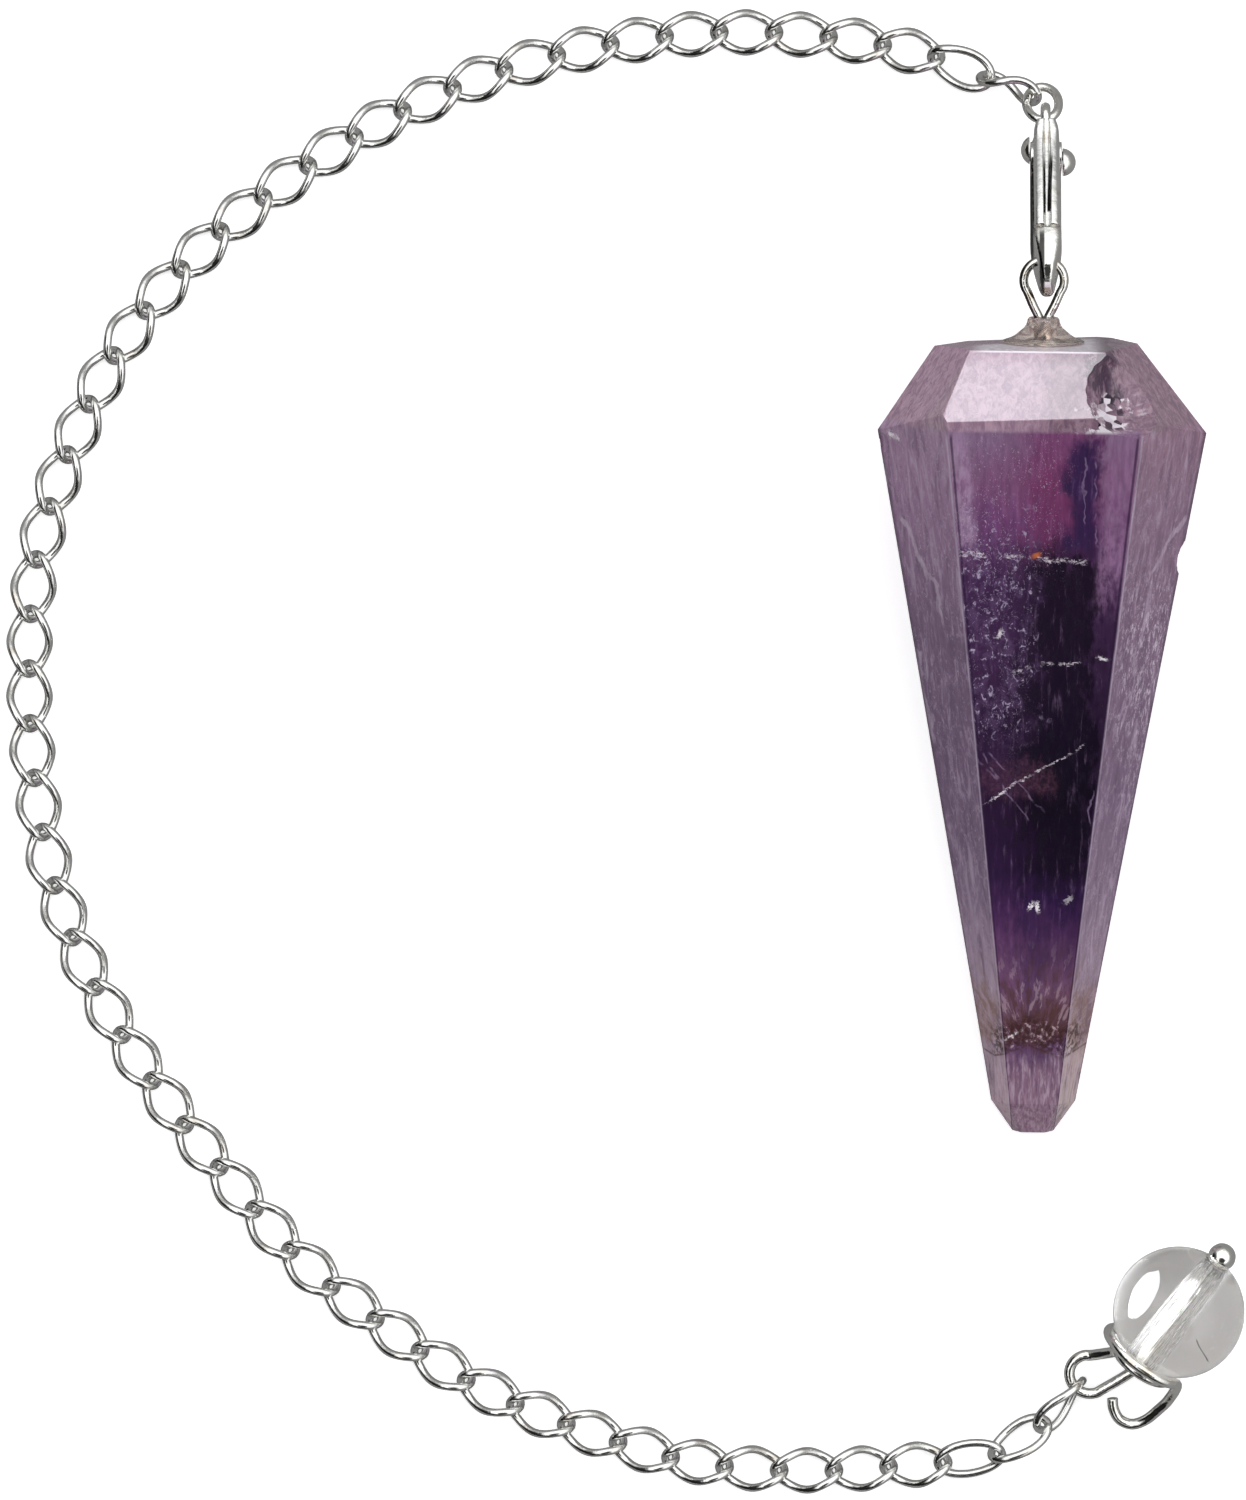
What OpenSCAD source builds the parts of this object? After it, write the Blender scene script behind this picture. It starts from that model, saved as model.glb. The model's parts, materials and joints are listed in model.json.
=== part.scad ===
// Pendulum pendant lying on a flat surface: a faceted stone point, a clasp, a curb chain and a drilled bead.
// X runs across the arc of the chain, Y from the stone's tip towards its eye, Z up from the surface.

/* [Stone] */
// Width of the stone across its side corners at the girdle
stone_w = 19.9; // [16:0.1:24]
// Depth of the stone from front facet to back facet at the girdle
stone_d = 14.2; // [11:0.1:17]
// Width of the front and back facets at the girdle
facet_w = 11.5; // [8:0.1:14]
// Length of the tapered part from girdle to tip
taper_len = 41.2; // [34:0.1:48]
// Width of the stone's end, before its tip is blunted
tip_w = 5.0; // [3:0.1:7]
// Length of the blunted tip
tip_len = 1.5; // [0.8:0.1:2.5]
// Height of the crown from girdle to table
crown_h = 5.4; // [4:0.1:7]
// Width of the table across its side corners
table_w = 12.1; // [10:0.1:14]
// How much deeper the crown is cut than the stone, which lifts the front and back edges of the girdle
crown_extra = 1.8; // [0:0.1:2.4]

/* [Eye] */
// Wire of the eye
eye_wire = 0.55; // [0.4:0.05:0.7]
// Outer width of the eye
eye_w = 3.0; // [2.6:0.1:3.6]
// Height of the eye's top above the table
eye_h = 5.3; // [4.5:0.1:6.5]
// Depth of the twisted shank in the stone
shank_depth = 4.5; // [3:0.1:6]
// Width of the glue cone where it sits on the table
collar_w = 5.0; // [4:0.1:6.4]
// Thickness of the glue round the shank at the cone's top
collar_wall = 0.18; // [0.15:0.01:0.4]
// Height of the glue cone
collar_h = 1.5; // [1:0.1:2]

/* [Clasp] */
// Length of the clasp from eyelet to nose
clasp_len = 13.0; // [12:0.1:15]
// Distance between the middles of the claw's two arms
claw_w = 4.0; // [3.8:0.1:4.4]
// Thickness of the clasp's body
clasp_t = 1.9; // [1.7:0.05:2.4]
// Thickness of the lever's root between the cheeks
lever_t = 1.1; // [0.9:0.05:1.2]
// Width of the lever beyond the cheeks
lever_w = 1.6; // [1.3:0.05:1.7]
// Diameter of the rivet
rivet_d = 0.56; // [0.4:0.02:0.7]
// Diameter of the rivet's heads
rivet_head_d = 1.7; // [1.3:0.05:1.8]
// Height of the rivet's higher head
rivet_head_h = 0.8; // [0.5:0.05:0.9]
// Wire of the clasp's eyelet
eyelet_wire = 0.6; // [0.5:0.05:0.65]
// Wire of the jump ring
ring_wire = 0.55; // [0.4:0.05:0.6]
// Outer length of the jump ring
ring_len = 3.4; // [3.2:0.1:4]
// Outer width of the jump ring
ring_w = 2.5; // [2.3:0.1:3]

/* [Chain] */
// Distance from one link to the next
link_pitch = 3.3; // [3.1:0.02:3.6]
// Outer width of a link
link_w = 2.85; // [2.7:0.05:3.1]
// Wire of a link
link_wire = 0.5; // [0.4:0.02:0.54]
// Twist of each half of a link out of flat
link_twist = 45; // [40:1:50]

/* [Bead] */
// Diameter of the bead
bead_d = 8.0; // [7:0.1:10]
// Diameter of the hole through the bead
bead_bore = 1.4; // [1:0.1:1.8]
// Wire of the head pin
pin_wire = 0.66; // [0.5:0.02:0.72]
// Diameter of the ball on the head pin
pin_ball_d = 1.7; // [1.5:0.1:2.2]
// Outer width of the head pin's loop that holds the chain
pin_loop_w = 3.1; // [2.9:0.1:3.6]

/* [Fit] */
// Gap between pieces that are set against each other
seat_gap = 0.05; // [0.03:0.01:0.1]
// Radial clearance of the lever on its rivet
rivet_play = 0.03; // [0.02:0.01:0.05]
// Room beside the jump ring in the eyelet's hole
eyelet_play = 0.35; // [0.25:0.05:0.45]
// Clearance between wires that hang in each other
link_play = 0.17; // [0.15:0.01:0.22]

/* [Hidden] */
$fn = 48;

// Centre of the clasp's eyelet, from which the stone hangs one way and the chain the other
hitch = [25.5, 38.28, 4.4];
// Slope and sideways turn of the jump ring, which hangs from the eyelet towards the surface
ring_slope = 44;
ring_turn = 9;
// Centre of the loop that holds the chain's last link, on the surface
hold_xy = [28.2, -37.82];
// Direction of the head pin on the surface, and how far it dips from its ball to its loops
pin_heading = 232.8;
pin_dip = 18;
// Turn of the stone's axis from Y, and how far the eye lies off the middle of the claw
stone_turn = -0.6;
eye_shift = -0.16;

// Route of the chain from the clasp to the bead: across, up the picture and, where it rises, its lift off the
// surface. Its first and last points are steps from the clasp's eyelet and from the loop that holds the last link
CLASP_STEP = [-3, 2.4, 0.9];
BEAD_STEPS = [[-6.5, -5.1, 0.5], [-3.6, -3.8, 0.5]];
ROUTE = [
    [18.6, 42.28, 0.1], [11.9, 43.48, 0.03], [5.2, 43.68], [-1.5, 42.88], [-8.1, 41.18], [-14.4, 38.48],
    [-20.3, 34.88], [-25.8, 30.48], [-30.4, 25.08], [-33.6, 18.68], [-35.7, 11.88], [-36.2, 4.88],
    [-35.8, -2.12], [-34.4, -8.92], [-31.7, -15.22], [-28, -21.02], [-24, -26.02], [-19.6, -31.02],
    [-14.3, -35.12], [-8.7, -38.72], [-2.3, -41.32], [4.3, -43.22], [11.3, -43.72, 0.02], [17.9, -43.32, 0.06]
];

// Vectors and paths
function unit(v) = v / norm(v);
function last(v) = v[len(v) - 1];
function flatten(lists) = [for (l = lists) each l];
function mix(a, b, t) = a * (1 - t) + b * t;
function smooth(t) = t * t * (3 - 2 * t);

// Point at share t between b and c on the smooth curve through a, b, c and d
function curve_point(a, b, c, d, t) =
    0.5 * (2 * b + (c - a) * t + (2 * a - 5 * b + 4 * c - d) * t * t + (3 * b - a - 3 * c + d) * t * t * t);

// Smooth open curve through the points, with steps points to a span
function curve(points, steps) = concat(
    [for (i = [0 : len(points) - 2]) for (k = [0 : steps - 1])
        curve_point(points[max(i - 1, 0)], points[i], points[i + 1], points[min(i + 2, len(points) - 1)], k / steps)],
    [last(points)]);

// Length of the path up to each of its points
function run_lengths(path) = [for (i = 0, s = 0; i < len(path);
    s = s + (i + 1 < len(path) ? norm(path[i + 1] - path[i]) : 0), i = i + 1) s];

// Point at distance s along the path
function at(path, runs, s) =
    [for (axis = [0 : 2]) lookup(s, [for (i = [0 : len(path) - 1]) [runs[i], path[i][axis]]])];

// Directions along an open path
function directions(path) = [for (i = [0 : len(path) - 1])
    unit(path[min(i + 1, len(path) - 1)] - path[max(i - 1, 0)])];

// Side vectors along an open path that don't twist about it, from a first one
function side_vectors(dirs, first) = [for (i = 0, n = unit(first - (first * dirs[0]) * dirs[0]); i < len(dirs);
    n = i + 1 < len(dirs) ? unit(n - (n * dirs[i + 1]) * dirs[i + 1]) : n, i = i + 1) n];

// Ring of a round section of radius r at a point
function round_ring(p, dir, side, r, sides) =
    [for (k = [0 : sides - 1]) p + r * (cos(360 * k / sides) * side + sin(360 * k / sides) * cross(dir, side))];

// Faces between rings of n points each, first to last, closed by end faces or back to the first ring
function wall_faces(rings, n, closed, start = 0) = [
    for (i = [0 : rings - (closed ? 1 : 2)]) for (k = [0 : n - 1]) let (
        a = start + i * n + k,
        b = start + i * n + (k + 1) % n,
        c = start + ((i + 1) % rings) * n + (k + 1) % n,
        d = start + ((i + 1) % rings) * n + k) each [[a, d, c], [a, c, b]]];
function end_faces(rings, n) = [[for (k = [0 : n - 1]) k], [for (k = [n - 1 : -1 : 0]) (rings - 1) * n + k]];

// Round wire along an open path, with a radius for each point
module wire(path, radii, first, sides) {
    dirs = directions(path);
    across = side_vectors(dirs, first);
    rings = [for (i = [0 : len(path) - 1]) round_ring(path[i], dirs[i], across[i], radii[i], sides)];
    polyhedron(flatten(rings), concat(wall_faces(len(path), sides, false), end_faces(len(path), sides)));
}

// Rings of a closed wire round a centre
function loop_rings(path, centre, r, sides) = [for (i = [0 : len(path) - 1]) let (
    count = len(path),
    dir = unit(path[(i + 1) % count] - path[(i + count - 1) % count]),
    out = path[i] - centre,
    side = unit(out - (out * dir) * dir)) round_ring(path[i], dir, side, r, sides)];

// Stone: it lies on its back facet, so its axis rises from tip to table by the slope of that facet
half_w = stone_w / 2;
half_d = stone_d / 2;
tip_share = tip_w / stone_w;
table_share = table_w / stone_w;
stone_rise = atan(half_d * (1 - tip_share) / taper_len);
girdle_z = half_d * cos(stone_rise);
// Slight cutting errors of the hand-cut crown: its lean to the side and to the front, and its shift
crown_lean = -2.4;
crown_nod = -3.5;
crown_shift = -0.3;

// Eye: the middle of its top wire, measured along the stone's axis from the girdle
eye_top = crown_h + eye_h - eye_wire / 2;
eye_z = girdle_z + eye_top * sin(stone_rise);

// Clasp: the eye's wire lies in the claw, whose slope follows from both ends' heights
nose_wall = 0.155 * clasp_len;
eyelet_bore = ring_wire + eyelet_play;
eyelet_u = eyelet_bore / 2 + eyelet_wire;
claw_u = clasp_len - nose_wall - eye_wire / 2 - link_play;
clasp_reach = claw_u - eyelet_u;
clasp_slope = asin((eye_z - hitch[2]) / clasp_reach);
eye_xyz = hitch + [eye_shift, -clasp_reach * cos(clasp_slope), eye_z - hitch[2]];
stone_across = [cos(stone_turn), sin(stone_turn), 0];
stone_along = [-sin(stone_turn) * cos(stone_rise), cos(stone_turn) * cos(stone_rise), sin(stone_rise)];
stone_front = cross(stone_across, stone_along);
girdle_xyz = eye_xyz - eye_top * stone_along;

// Places a child made with the stone's axis along Z, girdle at 0 and its front towards -Y
module on_stone() {
    translate(girdle_xyz) rotate([0, 0, stone_turn]) rotate([stone_rise - 90, 0, 0]) children();
}

// World place of a point given across the stone, towards its front and along its axis
function from_stone(p) = girdle_xyz + p[0] * stone_across + p[1] * stone_front + p[2] * stone_along;

// Six-sided cone between two heights, as shares of an outline with this front corner
module facet_cone(z0, share0, z1, share1, corner = [facet_w / 2, half_d]) {
    outline = [[half_w, 0], corner, [-corner[0], corner[1]], [-half_w, 0], -corner, [corner[0], -corner[1]]];
    translate([0, 0, z0]) linear_extrude(z1 - z0, scale = share1 / share0) polygon(outline * share0);
}

// Share of the outline at height z on a cone that has share0 at 0 and share1 at z1
function cone_share(z, share0, z1, share1) = share0 + (share1 - share0) * z / z1;

module amethyst_point() {
    color("mediumpurple") on_stone() difference() {
        intersection() {
            pavilion_cone();
            crown_cone();
            tip_cone();
        }
        translate([0, 0, crown_h - shank_depth]) cylinder(d = stone_bore, h = shank_depth + crown_h);
        stone_dents();
    }
}

module pavilion_cone() {
    low = -taper_len - tip_len;
    facet_cone(low, cone_share(low, 1, -taper_len, tip_share),
        crown_h, cone_share(crown_h, 1, -taper_len, tip_share));
}

// The crown's front facet meets the long one at this height, where both have the same width
taper_slope = (1 - tip_share) / taper_len;
crown_slope = (1 - table_share) / crown_h;
crown_half_d = half_d + crown_extra / 2;
edge_lift = (crown_half_d - half_d) / (half_d * taper_slope + crown_half_d * crown_slope);
crown_corner = [facet_w / 2 * (1 + taper_slope * edge_lift) / (1 - crown_slope * edge_lift), crown_half_d];

module crown_cone() {
    low = -taper_len - 2 * tip_len;
    translate([crown_shift, 0, 0]) rotate([crown_nod, crown_lean, 0])
        facet_cone(low, cone_share(low, 1, crown_h, table_share), crown_h, table_share, crown_corner);
}

module tip_cone() {
    shoulder = -taper_len + tip_len / 4;
    end_share = tip_share * 0.5;
    shoulder_share = cone_share(shoulder, 1, -taper_len, tip_share);
    growth = (shoulder_share - end_share) / (taper_len + tip_len + shoulder);
    facet_cone(-taper_len - tip_len, end_share, 2 * crown_h,
        end_share + growth * (taper_len + tip_len + 2 * crown_h));
}

// Shallow broken places: [across, towards front, height], then the ball's radius and the bite's depth as shares of
// the crown's height
DENTS = [
    [[0.43, 0.78, 0.36], 0.6, 0.1],
    [[0.86, 0.00, -0.19], 0.33, 0.065],
    [[-0.96, 0.10, -0.02], 0.17, 0.055]
];
module stone_dents() {
    for (dent = DENTS) {
        along = dent[0][2] > 0 ? dent[0][2] * crown_h : dent[0][2] * taper_len;
        foot = [dent[0][0] * half_w, -dent[0][1] * half_d, along];
        away = unit([foot[0], foot[1], along > 0 ? half_w * 0.6 : 0]);
        translate(foot + away * (dent[1] - dent[2]) * crown_h) sphere(dent[1] * crown_h);
    }
}

// Twisted shank: two legs side by side, which need this bore with a gap round them
leg_offset = eye_wire / 2 + seat_gap / 2;
stone_bore = 2 * (leg_offset + eye_wire / 2 + seat_gap);

module resin_collar() {
    low = crown_h + seat_gap;
    collar_top_w = stone_bore + 2 * collar_wall;
    profile = [[stone_bore / 2, 0], [collar_w / 2, 0], [collar_w * 0.40, collar_h * 0.16],
               [mix(collar_w, collar_top_w, 0.6) / 2, collar_h * 0.42],
               [mix(collar_w, collar_top_w, 0.85) / 2, collar_h * 0.72],
               [collar_top_w / 2, collar_h], [stone_bore / 2, collar_h]];
    color("lightgrey") on_stone() translate([0, 0, low]) rotate_extrude() polygon(profile);
}

// The eye's wire: up one leg, round the eye and down the other leg, which twists with the first
module eye_loop() {
    loop_r = (eye_w - eye_wire) / 2;
    neck = crown_h + collar_h + 0.1;
    foot = crown_h - shank_depth + eye_wire / 2;
    middle = crown_h + eye_h - eye_wire / 2 - loop_r;
    turns = 1.5;
    function leg(z, side) = let (a = side + 360 * turns * (neck - z) / (neck - foot))
        from_stone([leg_offset * cos(a), leg_offset * sin(a), z]);
    legs = 9;
    up = [for (i = [0 : legs]) leg(mix(foot, neck, i / legs), 0)];
    round_eye = [for (a = [-36 : 24 : 216]) from_stone([loop_r * cos(a), 0, middle + loop_r * sin(a)])];
    flare = mix(neck, middle - loop_r * sin(36), 0.45);
    neck_out = from_stone([loop_r * 0.52, 0, flare]);
    neck_in = from_stone([-loop_r * 0.52, 0, flare]);
    down = [for (i = [legs : -1 : 0]) leg(mix(foot, neck, i / legs), 180)];
    path = curve(concat(up, [neck_out], round_eye, [neck_in], down), 2);
    color("silver") wire(path, [for (p = path) eye_wire / 2], [0, 0, 1], 8);
}

// Clasp: u runs from its eyelet to its nose, v towards the lever, w across its thickness, towards -X
u_dir = [0, -cos(clasp_slope), sin(clasp_slope)];
v_dir = [0, sin(clasp_slope), cos(clasp_slope)];
function from_clasp(u, v, w) = hitch + (u - eyelet_u) * u_dir + v * v_dir - w * [1, 0, 0];
module on_clasp() {
    translate(hitch) rotate([90 - clasp_slope, 0, 0]) rotate([0, -90, 0]) translate([-eyelet_u, 0, 0]) children();
}

// Place on the clasp from shares: of its length beyond the eyelet, and of the claw's width
eyelet_end = 2 * eyelet_u;
function clasp_uv(shares) = [eyelet_end + shares[0] * (clasp_len - eyelet_end), shares[1] * claw_w];

// The rivet's place, and what the lever and the cheeks need round it
rivet_uv = clasp_uv([0.145, 0.07]);
lever_root_r = 0.18 * claw_w;
cheek_r = 0.22 * claw_w;
cheek_in = lever_t / 2 + seat_gap;
// Width of the foot that carries each cheek down into the bow
cheek_foot = 1.2 * cheek_r;

// Section of a bar, flat in the middle and round at its edges
SECTION = [[1, 0], [0.88, 0.62], [0.5, 0.95], [0, 1], [-0.5, 0.95], [-0.88, 0.62],
           [-1, 0], [-0.88, -0.62], [-0.5, -0.95], [0, -1], [0.5, -0.95], [0.88, -0.62]];
// The lever's section has a groove along its outer side
GROOVED = [[1, 0], [0.88, 0.7], [0.6, 1], [0.26, 1], [0.2, 0.1], [-0.2, 0.1], [-0.26, 1], [-0.6, 1], [-0.88, 0.7],
           [-1, 0], [-0.88, -0.62], [-0.5, -0.95], [0.5, -0.95], [0.88, -0.62]];

// Bar along a row of sections [u, v, half thickness in the clasp's plane, half width across it]
module bar(rows, section, steps) {
    smooth_rows = curve(rows, steps);
    count = len(smooth_rows);
    centres = [for (r = smooth_rows) [r[0], r[1]]];
    rings = [for (i = [0 : count - 1]) let (
        dir = unit(centres[min(i + 1, count - 1)] - centres[max(i - 1, 0)]),
        out = [-dir[1], dir[0]],
        row = smooth_rows[i])
        [for (s = section) from_clasp(row[0] + out[0] * s[1] * row[2], row[1] + out[1] * s[1] * row[2],
            -s[0] * row[3])]];
    n = len(section);
    polyhedron(flatten(rings), concat(wall_faces(count, n, false), end_faces(count, n)));
}

// Bow of the claw, from under the rivet round the nose to its tip: place, half thickness as a share of the claw's
// width, half width as a share of the bar's own
BOW = [
    [-0.035, -0.07, 0.10, 0.30], [0.05, -0.18, 0.13, 0.5], [0.145, -0.285, 0.15, 0.5], [0.29, -0.42, 0.155, 0.5],
    [0.467, -0.513, 0.16, 0.5], [0.636, -0.505, 0.175, 0.5], [0.758, -0.417, 0.185, 0.41],
    [0.868, -0.202, 0.215, 0.29], [0.909, 0.075, 0.225, 0.26], [0.866, 0.30, 0.20, 0.30],
    [0.79, 0.42, 0.165, 0.40], [0.73, 0.462, 0.135, 0.45], [0.668, 0.48, 0.105, 0.45]
];
// Lever from its horn over the rivet to the tip that meets the claw
LEVER = [
    [-0.01, 0.505, 0.055, 0.34], [0.035, 0.465, 0.085, 0.45], [0.105, 0.437, 0.095, 0.49], [0.23, 0.445, 0.105, 0.5],
    [0.38, 0.468, 0.108, 0.5], [0.53, 0.483, 0.105, 0.5], [0.652, 0.48, 0.10, 0.49]
];
// Web that joins the lever's root to its bar, as steps from the rivet
LEVER_WEB = [[-0.05, 0], [-0.035, 0.325], [0.15, 0.338], [0.055, 0]];
function sized(rows, wide) =
    [for (r = rows) let (place = clasp_uv(r)) [place[0], place[1], r[2] * claw_w, r[3] * wide]];

module clasp_body() {
    color("silver") difference() {
        union() {
            bar(sized(BOW, clasp_t), SECTION, 3);
            on_clasp() {
                translate([eyelet_u, 0, 0]) rotate_extrude()
                    translate([(eyelet_bore + eyelet_wire) / 2, 0]) circle(d = eyelet_wire, $fn = 24);
                for (w = [-clasp_t / 2, cheek_in]) translate([rivet_uv[0], rivet_uv[1], w]) {
                    cylinder(r = cheek_r, h = clasp_t / 2 - cheek_in);
                    translate([-cheek_foot / 2, -cheek_r - cheek_foot / 2, 0])
                        cube([cheek_foot, cheek_r + cheek_foot / 2, clasp_t / 2 - cheek_in]);
                }
            }
        }
        on_clasp() translate([rivet_uv[0], rivet_uv[1], 0]) {
            cylinder(r = lever_root_r + 2 * seat_gap, h = 2 * cheek_in, center = true);
            cylinder(d = rivet_d + seat_gap, h = 2 * clasp_t, center = true);
        }
    }
}

module clasp_lever() {
    color("gainsboro") difference() {
        union() {
            bar(sized(LEVER, lever_w), GROOVED, 3);
            on_clasp() translate([rivet_uv[0], rivet_uv[1], -lever_t / 2]) {
                cylinder(r = lever_root_r, h = lever_t);
                linear_extrude(lever_t) polygon([for (w = LEVER_WEB) clasp_uv(w) - [eyelet_end, 0]]);
            }
        }
        on_clasp() translate([rivet_uv[0], rivet_uv[1], 0])
            cylinder(d = rivet_d + 2 * rivet_play, h = 2 * clasp_t, center = true);
    }
}

// Dome on the side of the rivet that faces w = side
module rivet_head(side, foot, height) {
    ball_r = (pow(rivet_head_d / 2, 2) + pow(height, 2)) / (2 * height);
    difference() {
        translate([0, 0, side * (foot + height - ball_r)]) sphere(ball_r);
        translate([0, 0, side * (foot - 2 * ball_r)]) cube(4 * ball_r, center = true);
    }
}

// Rivet, whose hammered heads sit a little off its middle
module clasp_pin() {
    shank = clasp_t + 2 * seat_gap;
    head_shift = 0.24 * rivet_head_d;
    color("silver") on_clasp() translate([rivet_uv[0], rivet_uv[1], 0]) {
        cylinder(d = rivet_d, h = shank + rivet_head_h / 4, center = true);
        for (head = [[-1, 1], [1, 0.65]]) translate([-head[0] * head_shift, 0, 0])
            rivet_head(head[0], shank / 2, head[1] * rivet_head_h);
    }
}

// Jump ring: an oval that hangs from the eyelet, as long as its own wire and play let it
ring_half = (ring_len - ring_wire) / 2;
ring_dir = [-sin(ring_turn) * cos(ring_slope), cos(ring_turn) * cos(ring_slope), -sin(ring_slope)];
ring_side = [cos(ring_turn), sin(ring_turn), 0];
ring_mid = hitch + ring_half * ring_dir;
function on_ring(a) = ring_mid + ring_half * cos(a) * ring_dir + (ring_w - ring_wire) / 2 * sin(a) * ring_side;
module jump_ring() {
    path = [for (a = [0 : 15 : 345]) on_ring(a)];
    rings = loop_rings(path, ring_mid, ring_wire / 2, 8);
    color("silver") polyhedron(flatten(rings), wall_faces(len(path), 8, true));
}

// Bead and head pin: p runs along the pin from ball to loops, q to its left on the surface, n up
bead_r = bead_d / 2;
pin_dir = [cos(pin_heading) * cos(pin_dip), sin(pin_heading) * cos(pin_dip), -sin(pin_dip)];
pin_left = [-sin(pin_heading), cos(pin_heading), 0];
pin_up = cross(pin_dir, pin_left);
loop_r = (pin_loop_w - pin_wire) / 2;
loop_pq = [bead_r + 2.15 * loop_r, -1.62 * loop_r];
bead_xy = hold_xy - [for (k = [0, 1]) loop_pq[0] * pin_dir[k] + loop_pq[1] * pin_left[k]];
bead_xyz = [bead_xy[0], bead_xy[1], bead_r];
function from_bead(p) = bead_xyz + p[0] * pin_dir + p[1] * pin_left + p[2] * pin_up;

module quartz_bead() {
    color("whitesmoke") translate(bead_xyz) difference() {
        sphere(bead_r, $fn = 96);
        rotate([0, 0, pin_heading]) rotate([0, 90 + pin_dip, 0])
            cylinder(d = bead_bore, h = 3 * bead_r, center = true);
    }
}

// Points between bead and loop, and along the tail: beyond the bead, to the left and up, as shares of the loop's radius
PIN_NECK = [[0.9, -0.1, 0], [0.61, -1.6, 0.31]];
PIN_TAIL = [[0.49, 2.25, 0.61], [1.31, 2.17, 0.33], [2.21, 2, 0.08], [2.87, 1.6, 0], [3.07, 0.98, 0], [2.83, 0.41, 0],
            [2.42, 0.04, 0]];

// The pin's wire: ball, straight run through the bead, loop, wraps over the bead's shoulder and a curled tail
module head_pin() {
    ball_r = pin_ball_d / 2;
    ball_at = -sqrt(pow(bead_r, 2) - pow(bead_bore / 2, 2)) - seat_gap - sqrt(pow(ball_r, 2) - pow(bead_bore / 2, 2));
    ball = [for (a = [12 : 21 : 138]) [ball_at - ball_r * cos(a), 0, 0]];
    ball_radii = [for (a = [12 : 21 : 138]) ball_r * sin(a)];
    stem = [[ball_at + ball_r, 0, 0], [0, 0, 0], [bead_r + 0.2, 0, 0]];
    hold = [for (a = [78 : -19 : -150]) [loop_pq[0] + loop_r * cos(a), loop_pq[1] + loop_r * sin(a), 0]];
    shell_r = bead_r + pin_wire / 2 + 2 * seat_gap;
    function wrap(a, t) = let (r = mix(0.425, 0.74, smooth(t)) * bead_r)
        [sqrt(pow(shell_r, 2) - r * r), r * cos(a), r * sin(a)];
    function beyond(p) = [bead_r + p[0] * loop_r, p[1] * loop_r, p[2] * loop_r];
    wraps = [for (a = [150 : -20 : -330]) wrap(a, (150 - a) / 480)];
    tail = [for (p = PIN_TAIL) beyond(p)];
    thin = concat(stem, [beyond(PIN_NECK[0])], hold, [beyond(PIN_NECK[1])], wraps, tail);
    path = concat(ball, curve(thin, 2));
    radii = concat(ball_radii, [for (i = [len(ball) : len(path) - 1]) pin_wire / 2]);
    color("silver") wire([for (p = path) from_bead(p)], radii, [0, 0, 1], 8);
}

// Chain: its links lie half twisted, so each rests on one side wire and rises over the next link
LINK_SIDES = 16;
WIRE_SIDES = 6;
link_half = (link_pitch + link_wire + link_play) / 2;

// Middle line of a link about its own centre: along, to its left and up, half turned at each end
function link_path(half, turn_in, turn_out) = [for (k = [0 : LINK_SIDES - 1]) let (
    a = 360 * k / LINK_SIDES,
    w = (link_w - link_wire) / 2 * sin(a),
    turn = mix(turn_in, turn_out, smooth((1 + cos(a)) / 2))) [half * cos(a), w * cos(turn), w * sin(turn)]];
link_rise = max([for (p = link_path(link_half, link_twist, -link_twist)) p[2]]) + link_wire / 2;

// Turns of the ends of the links that don't lie flat, next to the jump ring and next to the head pin
FIRST_TURNS = [[131, 61], [-16, -47]];
LAST_TURNS = [[35, 39], [-55, -35], [48, 89]];
function turns(i, count) = i < len(FIRST_TURNS) ? FIRST_TURNS[i]
    : i >= count - len(LAST_TURNS) ? LAST_TURNS[i - count + len(LAST_TURNS)] : [link_twist, -link_twist];

// The chain hangs in the jump ring's far left and in the far side of the head pin's loop
ring_held_at = -43;
loop_held_at = -6;
ring_held = on_ring(ring_held_at);
loop_held = from_bead([loop_pq[0] + loop_r * cos(loop_held_at), loop_pq[1] + loop_r * sin(loop_held_at), 0]);
laid_points = concat([[hitch[0] + CLASP_STEP[0], hitch[1] + CLASP_STEP[1], CLASP_STEP[2]]], ROUTE,
    [for (p = BEAD_STEPS) [hold_xy[0] + p[0], hold_xy[1] + p[1], p[2]]]);
surface_points = [for (p = laid_points) [p[0], p[1], link_rise + (len(p) > 2 ? p[2] : 0)]];
first_joint = ring_held - (ring_wire + link_wire) / 4 * unit(surface_points[0] - ring_held);
last_joint = loop_held + (pin_wire + link_wire) / 4 * unit(loop_held - last(surface_points));
route_points = concat([first_joint], surface_points, [last_joint]);
route = curve(route_points, 8);
runs = run_lengths(route);
link_count = round(last(runs) / link_pitch);
step = last(runs) / link_count;

// Rings of a link between two joints, with the turns of its two ends
function link_rings(from, to, ends) = let (
    middle = (from + to) / 2,
    dir = unit(to - from),
    left = unit(cross([0, 0, 1], dir)),
    up = cross(dir, left),
    half = (norm(to - from) + link_wire + link_play) / 2,
    path = [for (p = link_path(half, ends[0], ends[1])) middle + p[0] * dir + p[1] * left + p[2] * up])
    loop_rings(path, middle, link_wire / 2, WIRE_SIDES);

module chain() {
    joints = [for (i = [0 : link_count]) at(route, runs, i * step)];
    rings = [for (i = [0 : link_count - 1]) flatten(link_rings(joints[i], joints[i + 1], turns(i, link_count)))];
    per_link = LINK_SIDES * WIRE_SIDES;
    color("silver") polyhedron(flatten(rings),
        [for (i = [0 : len(rings) - 1]) each wall_faces(LINK_SIDES, WIRE_SIDES, true, i * per_link)]);
}

amethyst_point();
resin_collar();
eye_loop();
clasp_body();
clasp_lever();
clasp_pin();
jump_ring();
chain();
quartz_bead();
head_pin();
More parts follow.
